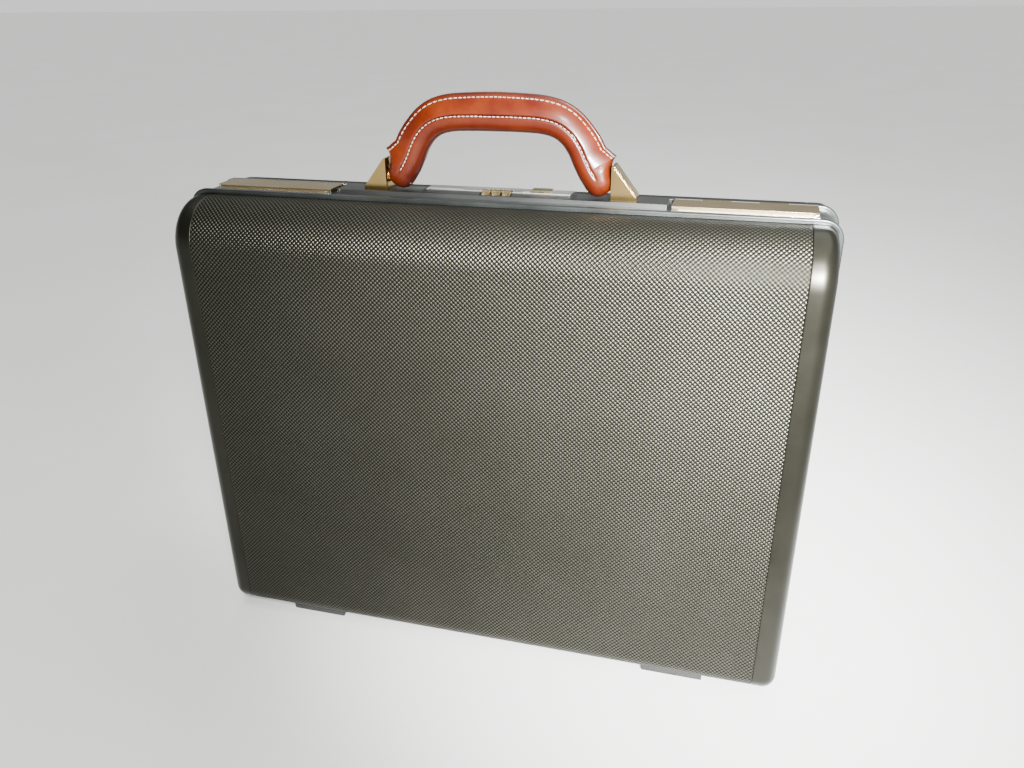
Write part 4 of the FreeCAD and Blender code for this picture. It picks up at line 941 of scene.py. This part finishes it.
def rounded_outline(left, right, low, high, corner, steps=7):
    """The outline of a rectangle with quarter circles for its four corners."""
    turn = np.linspace(0, QUARTER, steps)
    centres = [(right, high, 0), (left, high, 1), (left, low, 2), (right, low, 3)]
    parts = []
    for x, z, quarter in centres:
        a = turn + quarter * QUARTER
        cx = x - corner * math.copysign(1, x - (left + right) / 2)
        cz = z - corner * math.copysign(1, z - (low + high) / 2)
        parts.append(np.stack([cx + corner * np.cos(a), cz + corner * np.sin(a)], axis=1))
    return np.vstack(parts)


def plate(name, outline, back, front, edge):
    """A flat plate between two depths, with a half-round edge of this radius."""
    middle = outline.mean(axis=0)
    a = np.linspace(-QUARTER, QUARTER, 7)
    inset = edge * (1 - np.cos(a))
    half = abs(front - back) / 2
    y = (front + back) / 2 + half * np.sin(a)
    inward = middle - outline
    inward /= np.abs(inward).max(axis=0)
    points = [np.insert(outline + inward * d, 1, h, axis=1) for d, h in zip(inset, y)]
    count = len(outline)
    faces = quads(len(a), count, closed_columns=True).tolist()
    faces += [range(count), range(len(a) * count - 1, (len(a) - 1) * count - 1, -1)]
    return outwards(make(name, np.vstack(points), faces, 50))


def hem(name, outline, y):
    """Stitches just inside an outline, standing a little proud of a plate's face."""
    middle = outline.mean(axis=0)
    inward = (middle - outline) / np.abs(middle - outline).max(axis=0)
    line = np.vstack([outline + inward * HEM_INSET, outline[:1] + inward[:1] * HEM_INSET])
    step = np.linalg.norm(np.diff(line, axis=0), axis=1)
    length = np.concatenate([[0], np.cumsum(step)])
    count = int(length[-1] / HEM_SPACING)
    part = np.linspace(-0.5, 0.5, 5)
    at = (np.arange(count)[:, None] + 0.5 + 0.66 * part[None]) * length[-1] / count
    x, z = (np.interp(at, length, line[:, k]) for k in (0, 1))
    depth = y + 0.05 * MM * (1 - (2 * part[None]) ** 2) + 0 * at
    swell = np.array([0.6, 1, 1, 1, 0.6]) * HEM_THICK
    return threads(name, np.stack([x, depth, z], axis=-1), swell, 5, (0, 1, 0))


low, high = (np.array(v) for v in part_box("lid_organiser"))
back, front = low[1], high[1]
thick = front - back
width, foot, tall = high[0], low[2], high[2] - low[2]

# Name, then left and right in half widths, bottom and top in heights, rear and front in depths.
LAYERS = [
    ("board", -1.0, 1.0, 0.0, 1.0, 0.0, 0.40),
    ("document_pocket", -0.97, 0.97, 0.025, 0.80, 0.38, 0.60),
    ("card_pocket_left", -0.94, -0.52, 0.05, 0.55, 0.58, 0.80),
    ("card_pocket_right", 0.52, 0.94, 0.05, 0.55, 0.58, 0.80),
    ("note_pocket", -0.46, 0.46, 0.05, 0.60, 0.58, 0.80),
]
for name, left, right, bottom, upper, rear, fore in LAYERS:
    span = (left * width, right * width, foot + bottom * tall, foot + upper * tall)
    outline = rounded_outline(*span, POCKET_CORNER)
    face = back + fore * thick
    layer = plate("organiser_" + name, outline, back + rear * thick, face, POCKET_EDGE)
    settle(layer, "lid_organiser", stands_for=name == "board")
    settle(hem(f"organiser_{name}_stitches", outline, face), "lid_organiser", "thread", stands_for=False)
print(len(LAYERS), "layers in the organiser")

# %% [markdown]
# ## Small hidden nodes
#
# Pins and springs that hardly show keep their own mesh and only get a better finish.

# %% Finish the nodes that keep their mesh
kept = 0
for name, node in frame["nodes"].items():
    if not node.hide_render:
        node.data.materials[0] = FINISH[SLOT_OF[name]]
        kept += 1
print(kept, "nodes keep their mesh")

# %% [markdown]
# ## Floor and light
#
# A large pale floor fills the picture. One soft lamp stands above and behind the camera, a
# little to the right, and makes the bright spot where the right cap turns over. A smaller one
# in front lights the right of the embossed face. A sun with a very wide disc stands for the
# sky, and a world that is bright near the horizon gives the metals something to mirror.

# %% Lay the floor
start, feed = finish("floor")
coordinates, _ = place_on(start)
paint = cloud(start, coordinates, 3, 4)
feed(
    Base_Color=paint.between(0.3, 0.7).blend((0.76, 0.765, 0.745), (0.80, 0.805, 0.79)),
    Roughness=0.5 + 0.1 * paint,
)
HALF_FLOOR = 30.0
corners = [(x * HALF_FLOOR, y * HALF_FLOOR, 0) for x, y in ((-1, -1), (1, -1), (1, 1), (-1, 1))]
floor = make("floor", corners, [(0, 1, 2, 3)])
floor.data.materials.append(FINISH["floor"])


# %% Hang the lamps
def lamp(name, place, target, size, power, tint, spread=180):
    """A soft square lamp at a place, facing a target, its light kept to a spread in degrees."""
    light = bpy.data.lights.new(name, "AREA")
    light.size, light.energy, light.color = size, power, tint
    light.spread = math.radians(spread)
    holder = bpy.data.objects.new(name, light)
    bpy.context.scene.collection.objects.link(holder)
    holder.location = place
    holder.rotation_euler = Vector(np.subtract(place, target)).to_track_quat("Z", "Y").to_euler()


lamp("key", (0.42, -1.20, 1.40), (0.10, 0, 0.22), 0.26, 32, (1.0, 0.99, 0.97))
lamp("front", (0.34, -0.72, 0.56), (0.21, 0, 0.27), 0.14, 16, (1.0, 1.0, 1.0), 60)

sky = bpy.data.lights.new("sky", "SUN")
sky.energy, sky.angle, sky.color = 3.3, math.radians(70), (0.985, 1.0, 0.985)
holder = bpy.data.objects.new("sky", sky)
bpy.context.scene.collection.objects.link(holder)
holder.rotation_euler = (math.radians(-12), math.radians(6), 0)

ABOVE = (0.16, 0.168, 0.164)
HORIZON = (0.98, 0.995, 0.98)

world = bpy.data.worlds.new("studio")
world.use_nodes = True
start = Wire(world.node_tree)
height = start.node("SeparateXYZ", {}, {0: start.node("TexCoord", output=0)}, output=2)
band = 1 - height.between(0.04, 0.22)
background = world.node_tree.nodes["Background"]
join(world.node_tree, band.blend(ABOVE, HORIZON), background.inputs["Color"])
bpy.context.scene.world = world
print(len(bpy.data.lights), "lamps")
